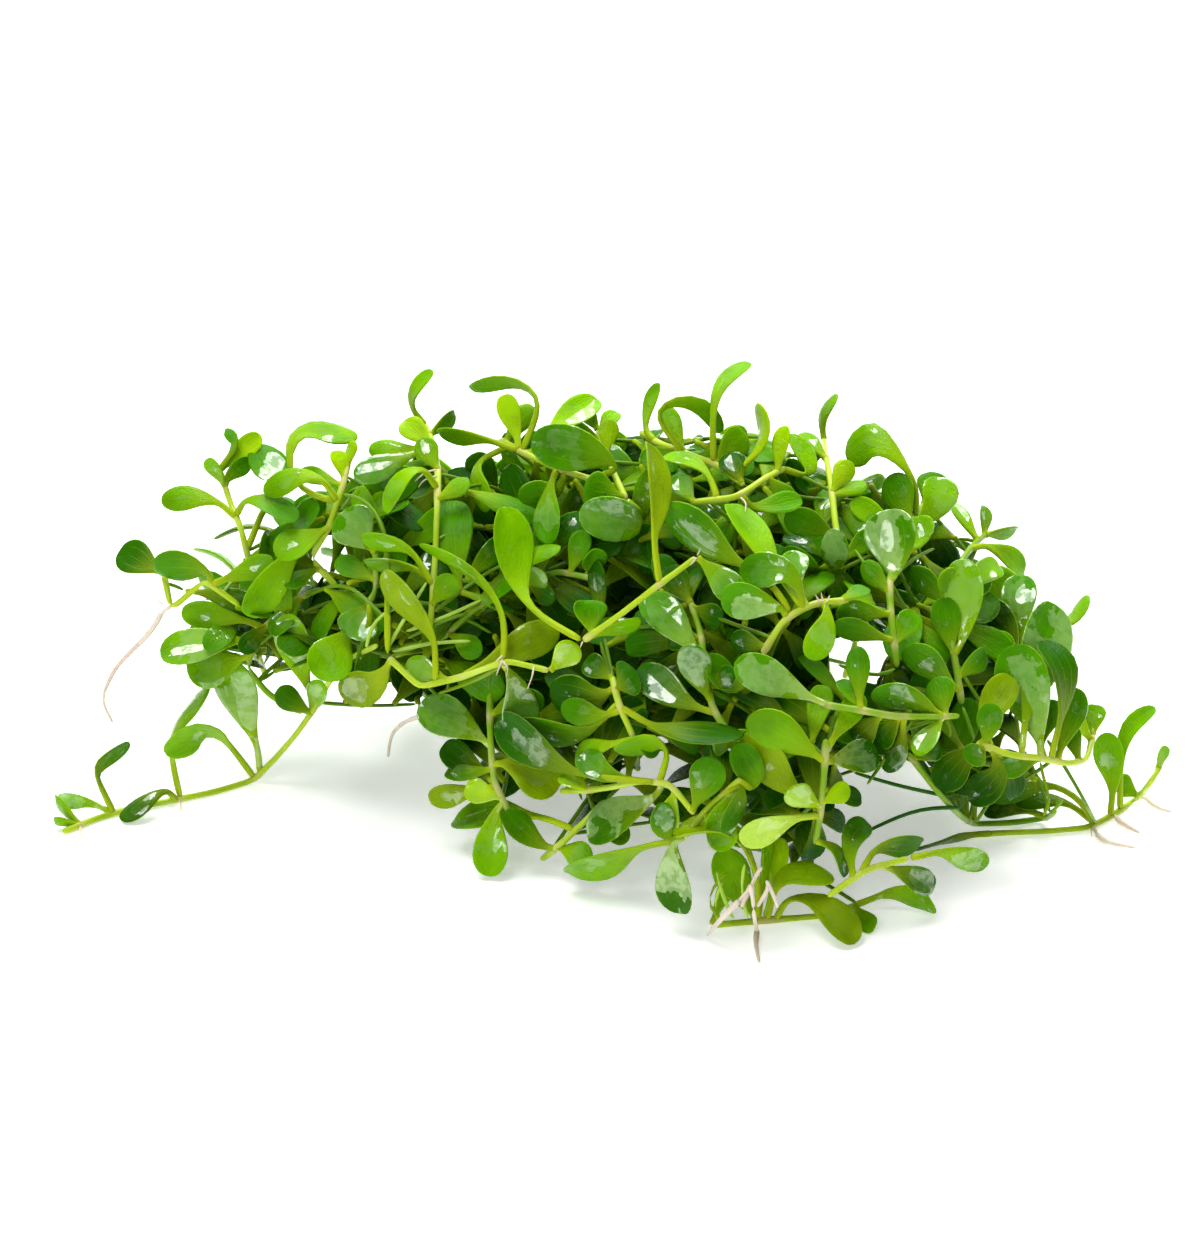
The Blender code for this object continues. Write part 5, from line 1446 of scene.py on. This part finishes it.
@dataclass
class Plant:
    """One creeping stem with the leaves that grow from it, made as one piece."""

    name: str
    stem: Route
    leaves: list[LeafShape] = field(default_factory=list)
    branches: list[Strand] = field(default_factory=list)
    stem_radius: float = 0.31 * MM
    stem_taper: float = 0.85
    stem_tint: Vector = field(default_factory=lambda: Vector((0.42, 0.58, 0.02)))
    joint_step: float = 0.2  # mm between the places that are tried for a joint

    def joints(self) -> tuple[float, ...]:
        """The distances along the stem at which its grown leaves start.

        Returns:
            One distance for each of them.
        """
        count = round(self.stem.length / (self.joint_step * MM)) + 1
        tried = [number * self.joint_step * MM for number in range(count)]
        points = [self.stem.at(distance)[0] for distance in tried]
        roots = [leaf.route.points[0] for leaf in self.leaves if not leaf.young]
        return tuple(tried[min(range(count), key=lambda i: (points[i] - root).length)]
                     for root in roots)

    def build(self, patterns: list[bpy.types.Mesh],
              finishes: list[bpy.types.Material]) -> bpy.types.Object:
        """Builds the plant's mesh and dresses it.

        Args:
            patterns: The meshes that the grown and the young leaves are bent from.
            finishes: The stem's and the leaves' finish.

        Returns:
            The finished piece.
        """
        shape = bmesh.new()
        dress = Dress(shape)
        stem = Strand(self.stem, self.stem_radius, self.stem_radius * self.stem_taper,
                      self.stem_tint, joints=self.joints())
        for strand in (stem, *self.branches):
            strand.draw(shape, dress)
        stem_faces = len(shape.faces)
        for leaf in self.leaves:
            self.add_leaf(shape, dress, patterns[leaf.young], leaf)
        for number, face in enumerate(shape.faces):
            face.material_index = int(number >= stem_faces)
        return finished_piece(self.name, shape, finishes)

    @staticmethod
    def add_leaf(shape: bmesh.types.BMesh, dress: Dress, pattern: bpy.types.Mesh,
                 leaf: LeafShape) -> None:
        """Bends a copy of the pattern along a leaf.

        Args:
            shape: The plant's mesh.
            dress: Its layers.
            pattern: The mesh that the leaf is bent from.
            leaf: The leaf.
        """
        before, first = len(shape.verts), len(shape.faces)
        shape.from_mesh(pattern)
        shape.verts.ensure_lookup_table()
        tint, sections = leaf.tint, {}
        for corner in shape.verts[before:]:
            across, station, through = corner.co
            key = round(station, 3)
            if key not in sections:
                sections[key] = leaf.section(station)
            corner.co = sections[key].place(across, through)
            dress.put(corner, tint, along=station / 2, across=across,
                      under=float(through < -0.1), chance=leaf.chance, wet=leaf.wet)
        turn_outward(shape, first)


class SolidTips:
    """The corners of a plant's solid, among which a leaf's tip is looked for."""

    LOWEST = 0.12 * MM  # how low a solid's tips lie at the least
    NEAR = 0.04 * MM

    def __init__(self, name: str) -> None:
        """Gathers the corners of a solid."""
        self.corners = [corner.co - CENTRING for corner in bpy.data.objects[name].data.vertices]

    def holds(self, tip: Vector) -> bool:
        """Whether the solid has a corner where a leaf's tip would be."""
        tip = Vector((tip.x, tip.y, max(tip.z, self.LOWEST)))
        return any((corner - tip).length < self.NEAR for corner in self.corners)

    def settle(self, lines: list[list[Vector]]) -> list[Vector]:
        """The first of a leaf's possible lines whose tip the solid has, or else the first."""
        return next((line for line in lines if self.holds(line[-1])), lines[0])


def in_outline(pixel: tuple[float, float]) -> bool:
    """Whether the photograph shows the heap closed at a pixel.

    Args:
        pixel: Its place across and down.

    Returns:
        Whether it lies inside the closed outline.
    """
    across, down = pixel
    inside = False
    for (x1, y1), (x2, y2) in zip(CLOSED_OUTLINE, CLOSED_OUTLINE[1:] + CLOSED_OUTLINE[:1]):
        if (y1 > down) != (y2 > down) and across < x1 + (down - y1) / (y2 - y1) * (x2 - x1):
            inside = not inside
    return inside


def in_opening(pixel: tuple[float, float]) -> bool:
    """Whether a pixel lies in an opening through the heap."""
    return any(math.hypot(pixel[0] - x, pixel[1] - y) < size for x, y, size in OPENINGS)


@dataclass
class Cover:
    """How many leaves lie over each small square of the picture, in pixels."""

    view: PhotoView
    square: float = 11.0
    first: tuple[int, int] = (150, 400)  # the corners of the picture's part that is looked over
    last: tuple[int, int] = (1100, 900)
    fading: float = 0.3  # what one more leaf over a square counts beside the last
    leaves: Counter = field(default_factory=Counter)

    def squares(self, leaf: LeafShape) -> set[tuple[int, int]]:
        """The squares under a leaf's blade.

        Args:
            leaf: The leaf.

        Returns:
            Their numbers across and down.
        """
        found = set()
        for station in (1.05, 1.3, 1.6, 1.85):
            section = leaf.section(station)
            for x in (-0.8, -0.3, 0.3, 0.8):
                across, down = self.view.pixel_of(section.place(x, 0))
                found.add((round(across / self.square), round(down / self.square)))
        return found

    def gain(self, leaves: list[LeafShape]) -> float:
        """What leaves would add, counting bare squares most."""
        reached = {square for leaf in leaves for square in self.squares(leaf)}
        return sum(self.fading ** self.leaves[square] for square in reached)

    def add(self, leaves: list[LeafShape]) -> None:
        """Counts leaves that have been grown."""
        for leaf in leaves:
            self.leaves.update(self.squares(leaf))

    def bare(self) -> Iterator[tuple[float, float]]:
        """The middles of the squares inside the closed outline that have no leaf yet.

        Returns:
            The pixels, one after another.
        """
        columns, rows = (range(round(low / self.square), round(high / self.square))
                         for low, high in zip(self.first, self.last))
        for down in rows:
            for across in columns:
                place = across * self.square, down * self.square
                if not self.leaves[across, down] and in_outline(place) and not in_opening(place):
                    yield place


@dataclass
class Grower:
    """Turns what the photograph shows into stems and leaves, in the places of the solids.

    Two values in brackets are the bounds that one is drawn between.
    """

    view: PhotoView
    heap: Heap
    stretch: float = 3.8 * MM  # the straight stretches of a solid's stem
    root_step: float = 0.4 * MM
    most_reach: float = 0.7  # how much of a leaf's seen length it may run into the picture
    grown_width: float = 0.34  # a leaf's width beside its length
    grown_widths: tuple[float, float] = (1.9 * MM, 4.2 * MM)
    most_turned: float = 1.7
    turned: tuple[float, float] = (0.05, 0.45)
    filmed: tuple[float, float] = (0.85, 1.1)
    damp: tuple[float, float] = (0.25, 0.8)
    # more film on ++ leaves, which also get the painted milky reflection
    milky_sheen: float = 0.4
    side_spacing: float = 3.4 * MM
    side_tries: int = 30
    side_choices: int = 4
    side_lengths: tuple[float, float] = (8, 17)
    pair_spacing: float = 3.0 * MM
    young_lengths: tuple[float, float] = (5.0, 9.0)
    gap_tries: int = 6
    gap_depths: tuple[float, float] = (3, 16)
    gap_reach: float = 14 * MM
    gap_gain: float = 2
    side_radius: tuple[float, float] = (0.22 * MM, 0.176 * MM)
    hair_radius: tuple[float, float] = (0.12 * MM, 0.04 * MM)
    side_step: float = 2.0 * MM
    hair_step: float = 0.5 * MM
    side_lowest: float = 1.0 * MM  # how low a side shoot's end lies at the least
    young_lowest: float = 0.5 * MM  # how low a young leaf's tip lies at the least
    free_reach: float = 0.98  # the share of the heap's size that young leaves keep inside
    free_rise: float = 0.2 * MM
    bright_reach: float = 0.93  # the share of the heap's size from which they are painted bright, as lit leaves near the surface
    green_reach: float = 0.82
    loose_from: float = -14 * MM
    looseness: float = 11.0  # per metre: how much lighter leaves are painted in the loose left end, as painted light
    green_stem: Vector = field(default_factory=lambda: Vector((0.20, 0.38, 0.008)))
    back_lengths: tuple[float, float] = (7.5, 10.5)
    back_widths: tuple[float, float] = (2.6, 4.0)
    back_lowest: float = 0.8 * MM
    back_sinking: float = 0.5 * MM

    def __post_init__(self) -> None:
        """Starts with a bare picture."""
        self.cover = Cover(self.view)

    def leaf_points(self, row: PlantRow, leaf: LeafRow, starts: Route, lean: float) -> list[Vector]:
        """A leaf's middle line, from inside its stem to its tip.

        Args:
            row: The plant.
            leaf: The leaf as seen.
            starts: The points of the stem at which a leaf may start.
            lean: How far the tip is moved into the picture, in mm.

        Returns:
            The line's points.
        """
        way = self.view.sight(*leaf.points[0]).normalized()
        root = min(starts.points, key=lambda p: (p - self.view.eye).cross(way).length)
        start = root.y if row.free else self.heap.depth(*leaf.points[-1])
        seen = Route([Vector(place) for place in leaf.points]).length * self.view.pixel
        most = self.most_reach * seen
        tip = root.y + min(max(start + leaf.tip * MM - root.y, -most), most) + lean * MM
        points = [root]
        last = len(leaf.points) - 1
        for number, place in enumerate(leaf.points[1:], 1):
            depth = root.y + (tip - root.y) * (number / last) ** 1.3
            points.append(self.view.at_depth(*place, depth))
        return points

    def seen_leaf(self, row: PlantRow, number: int, starts: Route, tips: SolidTips) -> LeafShape:
        """A leaf of the photograph, leaning as its solid does.

        Args:
            row: The plant.
            number: The leaf's number in it.
            starts: The points of the stem at which a leaf may start.
            tips: The solid's corners.

        Returns:
            The leaf.
        """
        leaf = row.leaves[number]
        points = tips.settle([self.leaf_points(row, leaf, starts, lean) for lean in LEANS])
        chance = random.Random(f"{row.name} {number}")
        low, high = self.grown_widths
        grown = min(max(self.grown_width * Route(points).length, low), high)
        side = chance.choice((-1, 1))
        seen = leaf.wide * self.view.pixel
        if seen < grown:
            grown = min(grown, self.most_turned * seen)
            roll, width = side * math.acos(seen / grown), grown
        else:
            turn = chance.uniform(*self.turned)
            roll, width = side * turn, seen / math.cos(turn)
        wet = chance.uniform(*(self.filmed if leaf.wet else self.damp))
        wet += self.milky_sheen * (leaf.wet > 1)
        return LeafShape(Route.smooth(points, 6), -self.view.into, roll, width, leaf.tone, wet,
                         chance.random())

    def side_stems(self, name: str) -> Iterator[Strand]:
        """The bare side stems and root hairs of a plant that the photograph shows.

        Args:
            name: The plant's name.

        Returns:
            Its strands, one after another.
        """
        for block in SIDE_STEMS.strip().replace(";\n", ";").splitlines():
            owner, rows = block.split(":")
            for row in rows.split(";") if owner == name else ():
                *places, letter = row.split()
                points = [self.heap.spot(place) for place in read_places(" ".join(places))]
                yield self.side_strand(Route.smooth(points, 4), Tone.of(letter))

    def side_strand(self, route: Route, tone: Tone) -> Strand:
        """A side stem or a root hair along a route.

        Args:
            route: Its line.
            tone: Its tone, which says which of them it is.

        Returns:
            The strand.
        """
        radius, end = self.hair_radius if tone is Tone.HAIR else self.side_radius
        spacing = self.hair_step if tone in (Tone.HAIR, Tone.ROOT) else self.side_step
        return Strand(route, radius, end, tone.colour, sides=5, spacing=spacing)

    def seen_plant(self, row: PlantRow) -> Plant:
        """A plant of the photograph with its leaves and the young ones inside the heap.

        Args:
            row: The plant as seen.

        Returns:
            The plant.
        """
        stem = Route.smooth([self.heap.spot(p) for p in row.stem], 8).thinned(self.stretch)
        starts = stem.thinned(self.root_step)
        tips = SolidTips(row.name)
        leaves = [self.seen_leaf(row, i, starts, tips) for i in range(len(row.leaves))]
        plant = Plant(row.name, stem, leaves, list(self.side_stems(row.name)))
        if row.green:
            plant.stem_tint = self.green_stem
        self.cover.add(leaves)
        self.side_shoots(plant, inward=True)
        return plant

    def back_plant(self, number: int, row: tuple[float, ...]) -> Plant:
        """A plant that climbs the back or the inside of the heap.

        Args:
            number: Its number, from 1.
            row: Its foot and head across, its lowest and highest angle, and its share.

        Returns:
            The plant.
        """
        name = f"stem_back_{number:02d}"
        points = self.back_line(number, *row)
        leaves = []
        chance = random.Random(f"back {number}")
        tips = SolidTips(name)
        for root in points[1::2]:
            middle = self.heap.at(root.x)[1]
            outward = Vector((0, root.y - middle, root.z * 0.9 + 3 * MM)).normalized()
            turn = chance.uniform(0, math.pi)
            for side in (-1, 1):
                spread = Vector((math.cos(turn), 0, math.sin(turn))) * side
                way = (outward * chance.uniform(0.5, 0.9) + spread * chance.uniform(0.5, 0.9)
                       + Vector((0, 0, chance.uniform(0, 0.4)))).normalized()
                length = chance.uniform(*self.back_lengths) * MM
                bend = outward * length * chance.uniform(0.05, 0.2)
                tip = root + way * length
                while self.heap.seen_reach(tip) > BACK_HIDDEN and tip.z > self.back_lowest:
                    tip.z -= self.back_sinking
                tip.z = max(tip.z, self.back_lowest)
                line = [root, (root + tip) / 2 + bend, tip]
                width = chance.uniform(*self.back_widths) * MM
                leaves.append(self.back_leaf(f"{name} {len(leaves)}", line, outward, width, tips))
        plant = Plant(name, Route(points), leaves)
        self.side_shoots(plant, inward=False)
        return plant

    def back_line(self, number: int, foot: float, head: float, low: float, high: float,
                  reach: float) -> list[Vector]:
        """The line of a stem that climbs the back or the inside of the heap.

        Args:
            number: Its number, from 1.
            foot: Its place across at the foot, in mm.
            head: Its place across at the head.
            low: Its angle over the ground at the foot, in degrees.
            high: Its angle at the head.
            reach: The share of the heap's size at which it runs.

        Returns:
            Its points.
        """
        points = []
        for step in range(BACK_NODES * 2 + 1):
            share = step / (BACK_NODES * 2)
            across = (foot + (head - foot) * share) * MM
            half, middle, height = self.heap.at(across)
            angle = math.radians(low + (high - low) * share)
            sway = math.sin(share * 9 + number * 2.1) * BACK_SWAY
            rise = max(height * reach * math.sin(angle), LIE if step else BACK_FOOT)
            points.append(Vector((across + sway, middle + half * reach * math.cos(angle), rise)))
        return points

    @staticmethod
    def back_leaf(name: str, line: list[Vector], outward: Vector, width: float,
                  tips: SolidTips) -> LeafShape:
        """A leaf of the heap's back, leaning as its solid does.

        Args:
            name: The plant's name and the leaf's number, which its chance is drawn by.
            line: Its line before it leans.
            outward: The way out of the heap.
            width: Its width.
            tips: The solid's corners.

        Returns:
            The leaf.
        """
        last = len(line) - 1
        points = tips.settle([
            [point + outward * lean * MM * (i / last) for i, point in enumerate(line)]
            for lean in LEANS
        ])
        roll = random.Random(name).uniform(-0.5, 0.5)
        chance = random.Random(f"tone {name}")
        tone = chance.choice((Tone.BRIGHT, Tone.MIDDLE, Tone.MIDDLE, Tone.DEEP))
        return LeafShape(Route.smooth(points, 6), outward, roll, width, tone,
                         chance.uniform(0, 0.9), chance.random(), painted_shade=0.0)

    def side_shoots(self, plant: Plant, inward: bool) -> None:
        """Grows short side shoots that fill the heap where the photograph shows it closed.

        Args:
            plant: The plant that gets them.
            inward: Whether they must stay behind its stem, as seen in the photograph.
        """
        chance = random.Random(f"young {plant.name}")
        count = round(plant.stem.length / self.side_spacing)
        for number in range(count):
            root, tangent = plant.stem.at(plant.stem.length * (number + 0.5) / count)
            choices = []
            for _ in range(self.side_tries):
                branch = self.side_branch(root, tangent, chance, inward)
                if all(self.free_place(point) for point in branch.points[1:]):
                    choices.append((branch, self.young_pairs(branch, chance)))
                if len(choices) == self.side_choices:
                    break
            if choices:
                self.grow(plant, *max(choices, key=lambda choice: self.cover.gain(choice[1])))

    def grow(self, plant: Plant, branch: Route, leaves: list[LeafShape]) -> None:
        """Adds a side shoot and its leaves to a plant, as long as its leaves need it.

        Args:
            plant: The plant.
            branch: The side shoot's line.
            leaves: Its leaves.
        """
        start = branch.points[0]
        if leaves:
            ends = [leaf.route.points[0] for leaf in leaves]
            end = max(ends, key=lambda point: (point - start).length)
            reach = (end - start).length
            kept = [point for point in branch.points if (point - start).length < reach]
            plant.branches.append(self.side_strand(Route([*kept, end]), Tone.STEM))
        plant.leaves += leaves
        self.cover.add(leaves)

    def close_gaps(self, plants: list[Plant]) -> None:
        """Grows a side shoot from the nearest stem to each part of the heap that is still bare.

        Args:
            plants: All plants.
        """
        chance = random.Random("gaps")
        stems = [(plant, point) for plant in plants for point in plant.stem.thinned(MM).points]
        for place in list(self.cover.bare()):
            choices = []
            for _ in range(self.gap_tries):
                depth = self.heap.depth(*place) + chance.uniform(*self.gap_depths) * MM
                aim = self.view.at_depth(*place, depth)
                if not self.free_place(aim):
                    continue
                plant, root = min(stems, key=lambda stem: (stem[1] - aim).length)
                if (root - aim).length > self.gap_reach:
                    continue
                lift = Vector((0, 0, (aim - root).length * chance.uniform(-0.1, 0.2)))
                branch = Route.bow(root, lift, aim, 4)
                leaves = self.young_pairs(branch, chance)
                choices.append((self.cover.gain(leaves), plant, branch, leaves))
            gain, *best = max(choices, key=lambda choice: choice[0], default=(0,))
            if gain > self.gap_gain:
                self.grow(*best)
                stems += [(best[0], point) for point in best[1].points[2:]]

    def side_branch(self, root: Vector, tangent: Vector, chance: random.Random,
                    inward: bool) -> Route:
        """The line of a side shoot.

        Args:
            root: Where it grows from its stem.
            tangent: The stem's direction there.
            chance: What it is drawn by.
            inward: Whether it runs into the picture.

        Returns:
            The line.
        """
        way = Vector([chance.gauss(0, 1) for _ in range(3)]).normalized() + tangent * 0.3
        if inward:
            way = way.normalized() + self.view.into * chance.uniform(0.4, 1.3)
        way.normalize()
        length = chance.uniform(*self.side_lengths) * MM
        bend = Vector((0, 0, 1)) * length * chance.uniform(-0.10, 0.22)
        end = root + way * length
        end.z = max(end.z, self.side_lowest)
        return Route.bow(root, bend, end, 4)

    def young_pairs(self, branch: Route, chance: random.Random) -> list[LeafShape]:
        """The small leaves of a side shoot, in pairs that turn a quarter from one to the next.

        Args:
            branch: The side shoot's line.
            chance: What they are drawn by.

        Returns:
            The leaves that have room.
        """
        turn = chance.uniform(0, math.pi)
        pairs = max(round(branch.length / self.pair_spacing), 1)
        leaves = []
        for pair in range(1, pairs + 1):
            root, tangent = branch.at(branch.length * pair / pairs)
            for side in (0, 1):
                angle = turn + pair * math.pi / 2 + side * math.pi + chance.uniform(-0.3, 0.3)
                across = Matrix.Rotation(angle, 3, tangent) @ tangent.orthogonal().normalized()
                leaves.append(self.young_leaf(root, tangent, across, chance))
        return [leaf for leaf in leaves if self.has_room(leaf)]

    def young_leaf(self, root: Vector, tangent: Vector, across: Vector,
                   chance: random.Random) -> LeafShape:
        """A small leaf of a side shoot.

        Args:
            root: Where it grows.
            tangent: The shoot's direction there.
            across: The side that it grows to.
            chance: What it is drawn by.

        Returns:
            The leaf.
        """
        way = (across + tangent * chance.uniform(0.3, 0.9)).normalized()
        length = chance.uniform(*self.young_lengths) * MM
        facing = Vector((chance.uniform(-0.5, 0.5), -0.7, 1.0)).normalized()
        bend = facing * length * chance.uniform(0.02, 0.18)
        tip = root + way * length
        tip.z = max(tip.z, self.young_lowest)
        leaf = LeafShape(
            Route.bow(root, bend, tip, 6), facing, chance.uniform(-0.5, 0.5),
            length * chance.uniform(0.38, 0.5), self.depth_shaded_tone(tip, chance),
            chance.uniform(0, 0.7), chance.random(), young=True,
        )
        if leaf.tone is Tone.SHADED:
            leaf.wet = 0.0
        return leaf

    def depth_shaded_tone(self, tip: Vector, chance: random.Random) -> Tone:
        """A young leaf's tone, with painted shade: darker the deeper it grows in the heap.

        Args:
            tip: Its tip.
            chance: What it is drawn by.

        Returns:
            The tone.
        """
        reach = self.heap.reach(tip) + chance.uniform(-0.08, 0.08)
        reach += self.looseness * max(self.loose_from - tip.x, 0)
        # painted shade deeper in, painted light near the surface and in the loose left end
        tones = Tone.DEEP, Tone.SHADED
        if reach > self.bright_reach:
            tones = Tone.BRIGHT, Tone.MIDDLE, Tone.MIDDLE
        elif reach > self.green_reach:
            tones = Tone.MIDDLE, Tone.DEEP
        return chance.choice(tones)

    def free_place(self, point: Vector) -> bool:
        """Whether a point lies inside the heap, in its outline and off its openings.

        Args:
            point: The point.

        Returns:
            Whether a young leaf may be there.
        """
        pixel = self.view.pixel_of(point)
        inside = self.heap.reach(point) <= self.free_reach and point.z >= self.free_rise
        return inside and in_outline(pixel) and not in_opening(pixel)

    def has_room(self, leaf: LeafShape) -> bool:
        """Whether a young leaf's blade has only free places."""
        sections = [leaf.section(station) for station in (1.3, 1.65, 2.0)]
        return all(self.free_place(one.place(x, 0)) for one in sections for x in (-1, 0, 1))


@dataclass
class Root:
    """A root that hangs or lies free, as a piece of its own."""

    name: str
    route: Route
    radius: float = 0.29 * MM
    end_radius: float = 0.14 * MM
    spacing: float = 0.6 * MM
    knots: tuple[float, ...] = (0.25, 0.62)  # shares of the root's length
    swell: float = 0.18

    def build(self, finish: bpy.types.Material) -> bpy.types.Object:
        """Builds the root's mesh and dresses it.

        Args:
            finish: The root's finish.

        Returns:
            The finished piece.
        """
        shape = bmesh.new()
        joints = tuple(self.route.length * share for share in self.knots)
        Strand(self.route, self.radius, self.end_radius, Tone.ROOT.colour, spacing=self.spacing,
               joints=joints, swell=self.swell).draw(shape, Dress(shape))
        return finished_piece(self.name, shape, [finish])


@dataclass(frozen=True)
class Softbox:
    """A soft light that looks at the clump."""

    name: str
    place: tuple[float, float, float]
    size: tuple[float, float]
    power: float
    aim: Vector = field(default_factory=lambda: Vector((0, 0, 0.015)))

    def hang(self) -> None:
        """Hangs the light."""
        lamp = bpy.data.lights.new(self.name, "AREA")
        lamp.shape = "ELLIPSE"
        lamp.size, lamp.size_y = self.size
        lamp.energy = self.power
        hung = linked(self.name, lamp)
        hung.location = self.place
        hung.rotation_mode = "QUATERNION"
        hung.rotation_quaternion = (Vector(self.place) - self.aim).to_track_quat("Z", "Y")


@dataclass
class Studio:
    """A pale floor and soft lights from above, behind and in front."""

    floor_size: float = 3.0
    sky: float = 0.18
    lights: tuple[Softbox, ...] = (
        Softbox("softbox_back", (0.05, 0.38, 0.55), (0.85, 0.46), 7.8),
        Softbox("softbox_top", (-0.20, -0.15, 0.75), (0.42, 0.36), 3.4),
        Softbox("softbox_front", (-0.30, -0.60, 0.40), (0.34, 0.28), 1.1),
    )

    def build(self, finish: bpy.types.Material) -> None:
        """Lays the floor and hangs the lights.

        Args:
            finish: The floor's finish.
        """
        shape = bmesh.new()
        bmesh.ops.create_grid(shape, x_segments=4, y_segments=4, size=self.floor_size / 2)
        data = mesh_of("floor", shape)
        data.materials.append(finish)
        linked("floor", data)
        for light in self.lights:
            light.hang()
        world = bpy.data.worlds.new("studio")
        world.use_nodes = True
        backdrop = world.node_tree.nodes["Background"]
        backdrop.inputs["Color"].default_value = (1, 1, 1, 1)
        backdrop.inputs["Strength"].default_value = self.sky
        bpy.context.scene.world = world
        bpy.context.scene.view_settings.view_transform = "Standard"


def main() -> None:
    """Builds the clump, plant by plant, and the studio around it."""
    logging.basicConfig(level=logging.INFO, format="%(message)s")
    view = PhotoView()
    heap = Heap(view)
    effects = Effects()
    finishes = [StemFinish().material(effects), LeafFinish().material(effects)]
    root_finish = RootFinish().material(effects)
    young = LeafPattern(sides=6, stations=(0.0, 0.6, 1.0, 1.3, 1.65, 1.92, 2.0))
    patterns = [LeafPattern().mesh(), young.mesh()]
    grower = Grower(view, heap)
    plants = [grower.seen_plant(row) for row in PlantRow.read_all(PLANTS)]
    plants += [grower.back_plant(i, row) for i, row in enumerate(BACK_STEMS, 1)]
    grower.close_gaps(plants)
    for plant in plants:
        piece = plant.build(patterns, finishes)
        LOG.info("%s: %d leaves, %d faces", piece.name, len(plant.leaves), len(piece.data.polygons))
    for line in ROOTS.strip().splitlines():
        name, places = line.split(":")
        points = [heap.spot(place) for place in read_places(places)]
        piece = Root(name, Route.smooth(points, 4)).build(root_finish)
        LOG.info("%s", piece.name)
    Studio().build(FloorFinish().material(effects))
    view.place_camera()


if __name__ == "__main__":
    main()
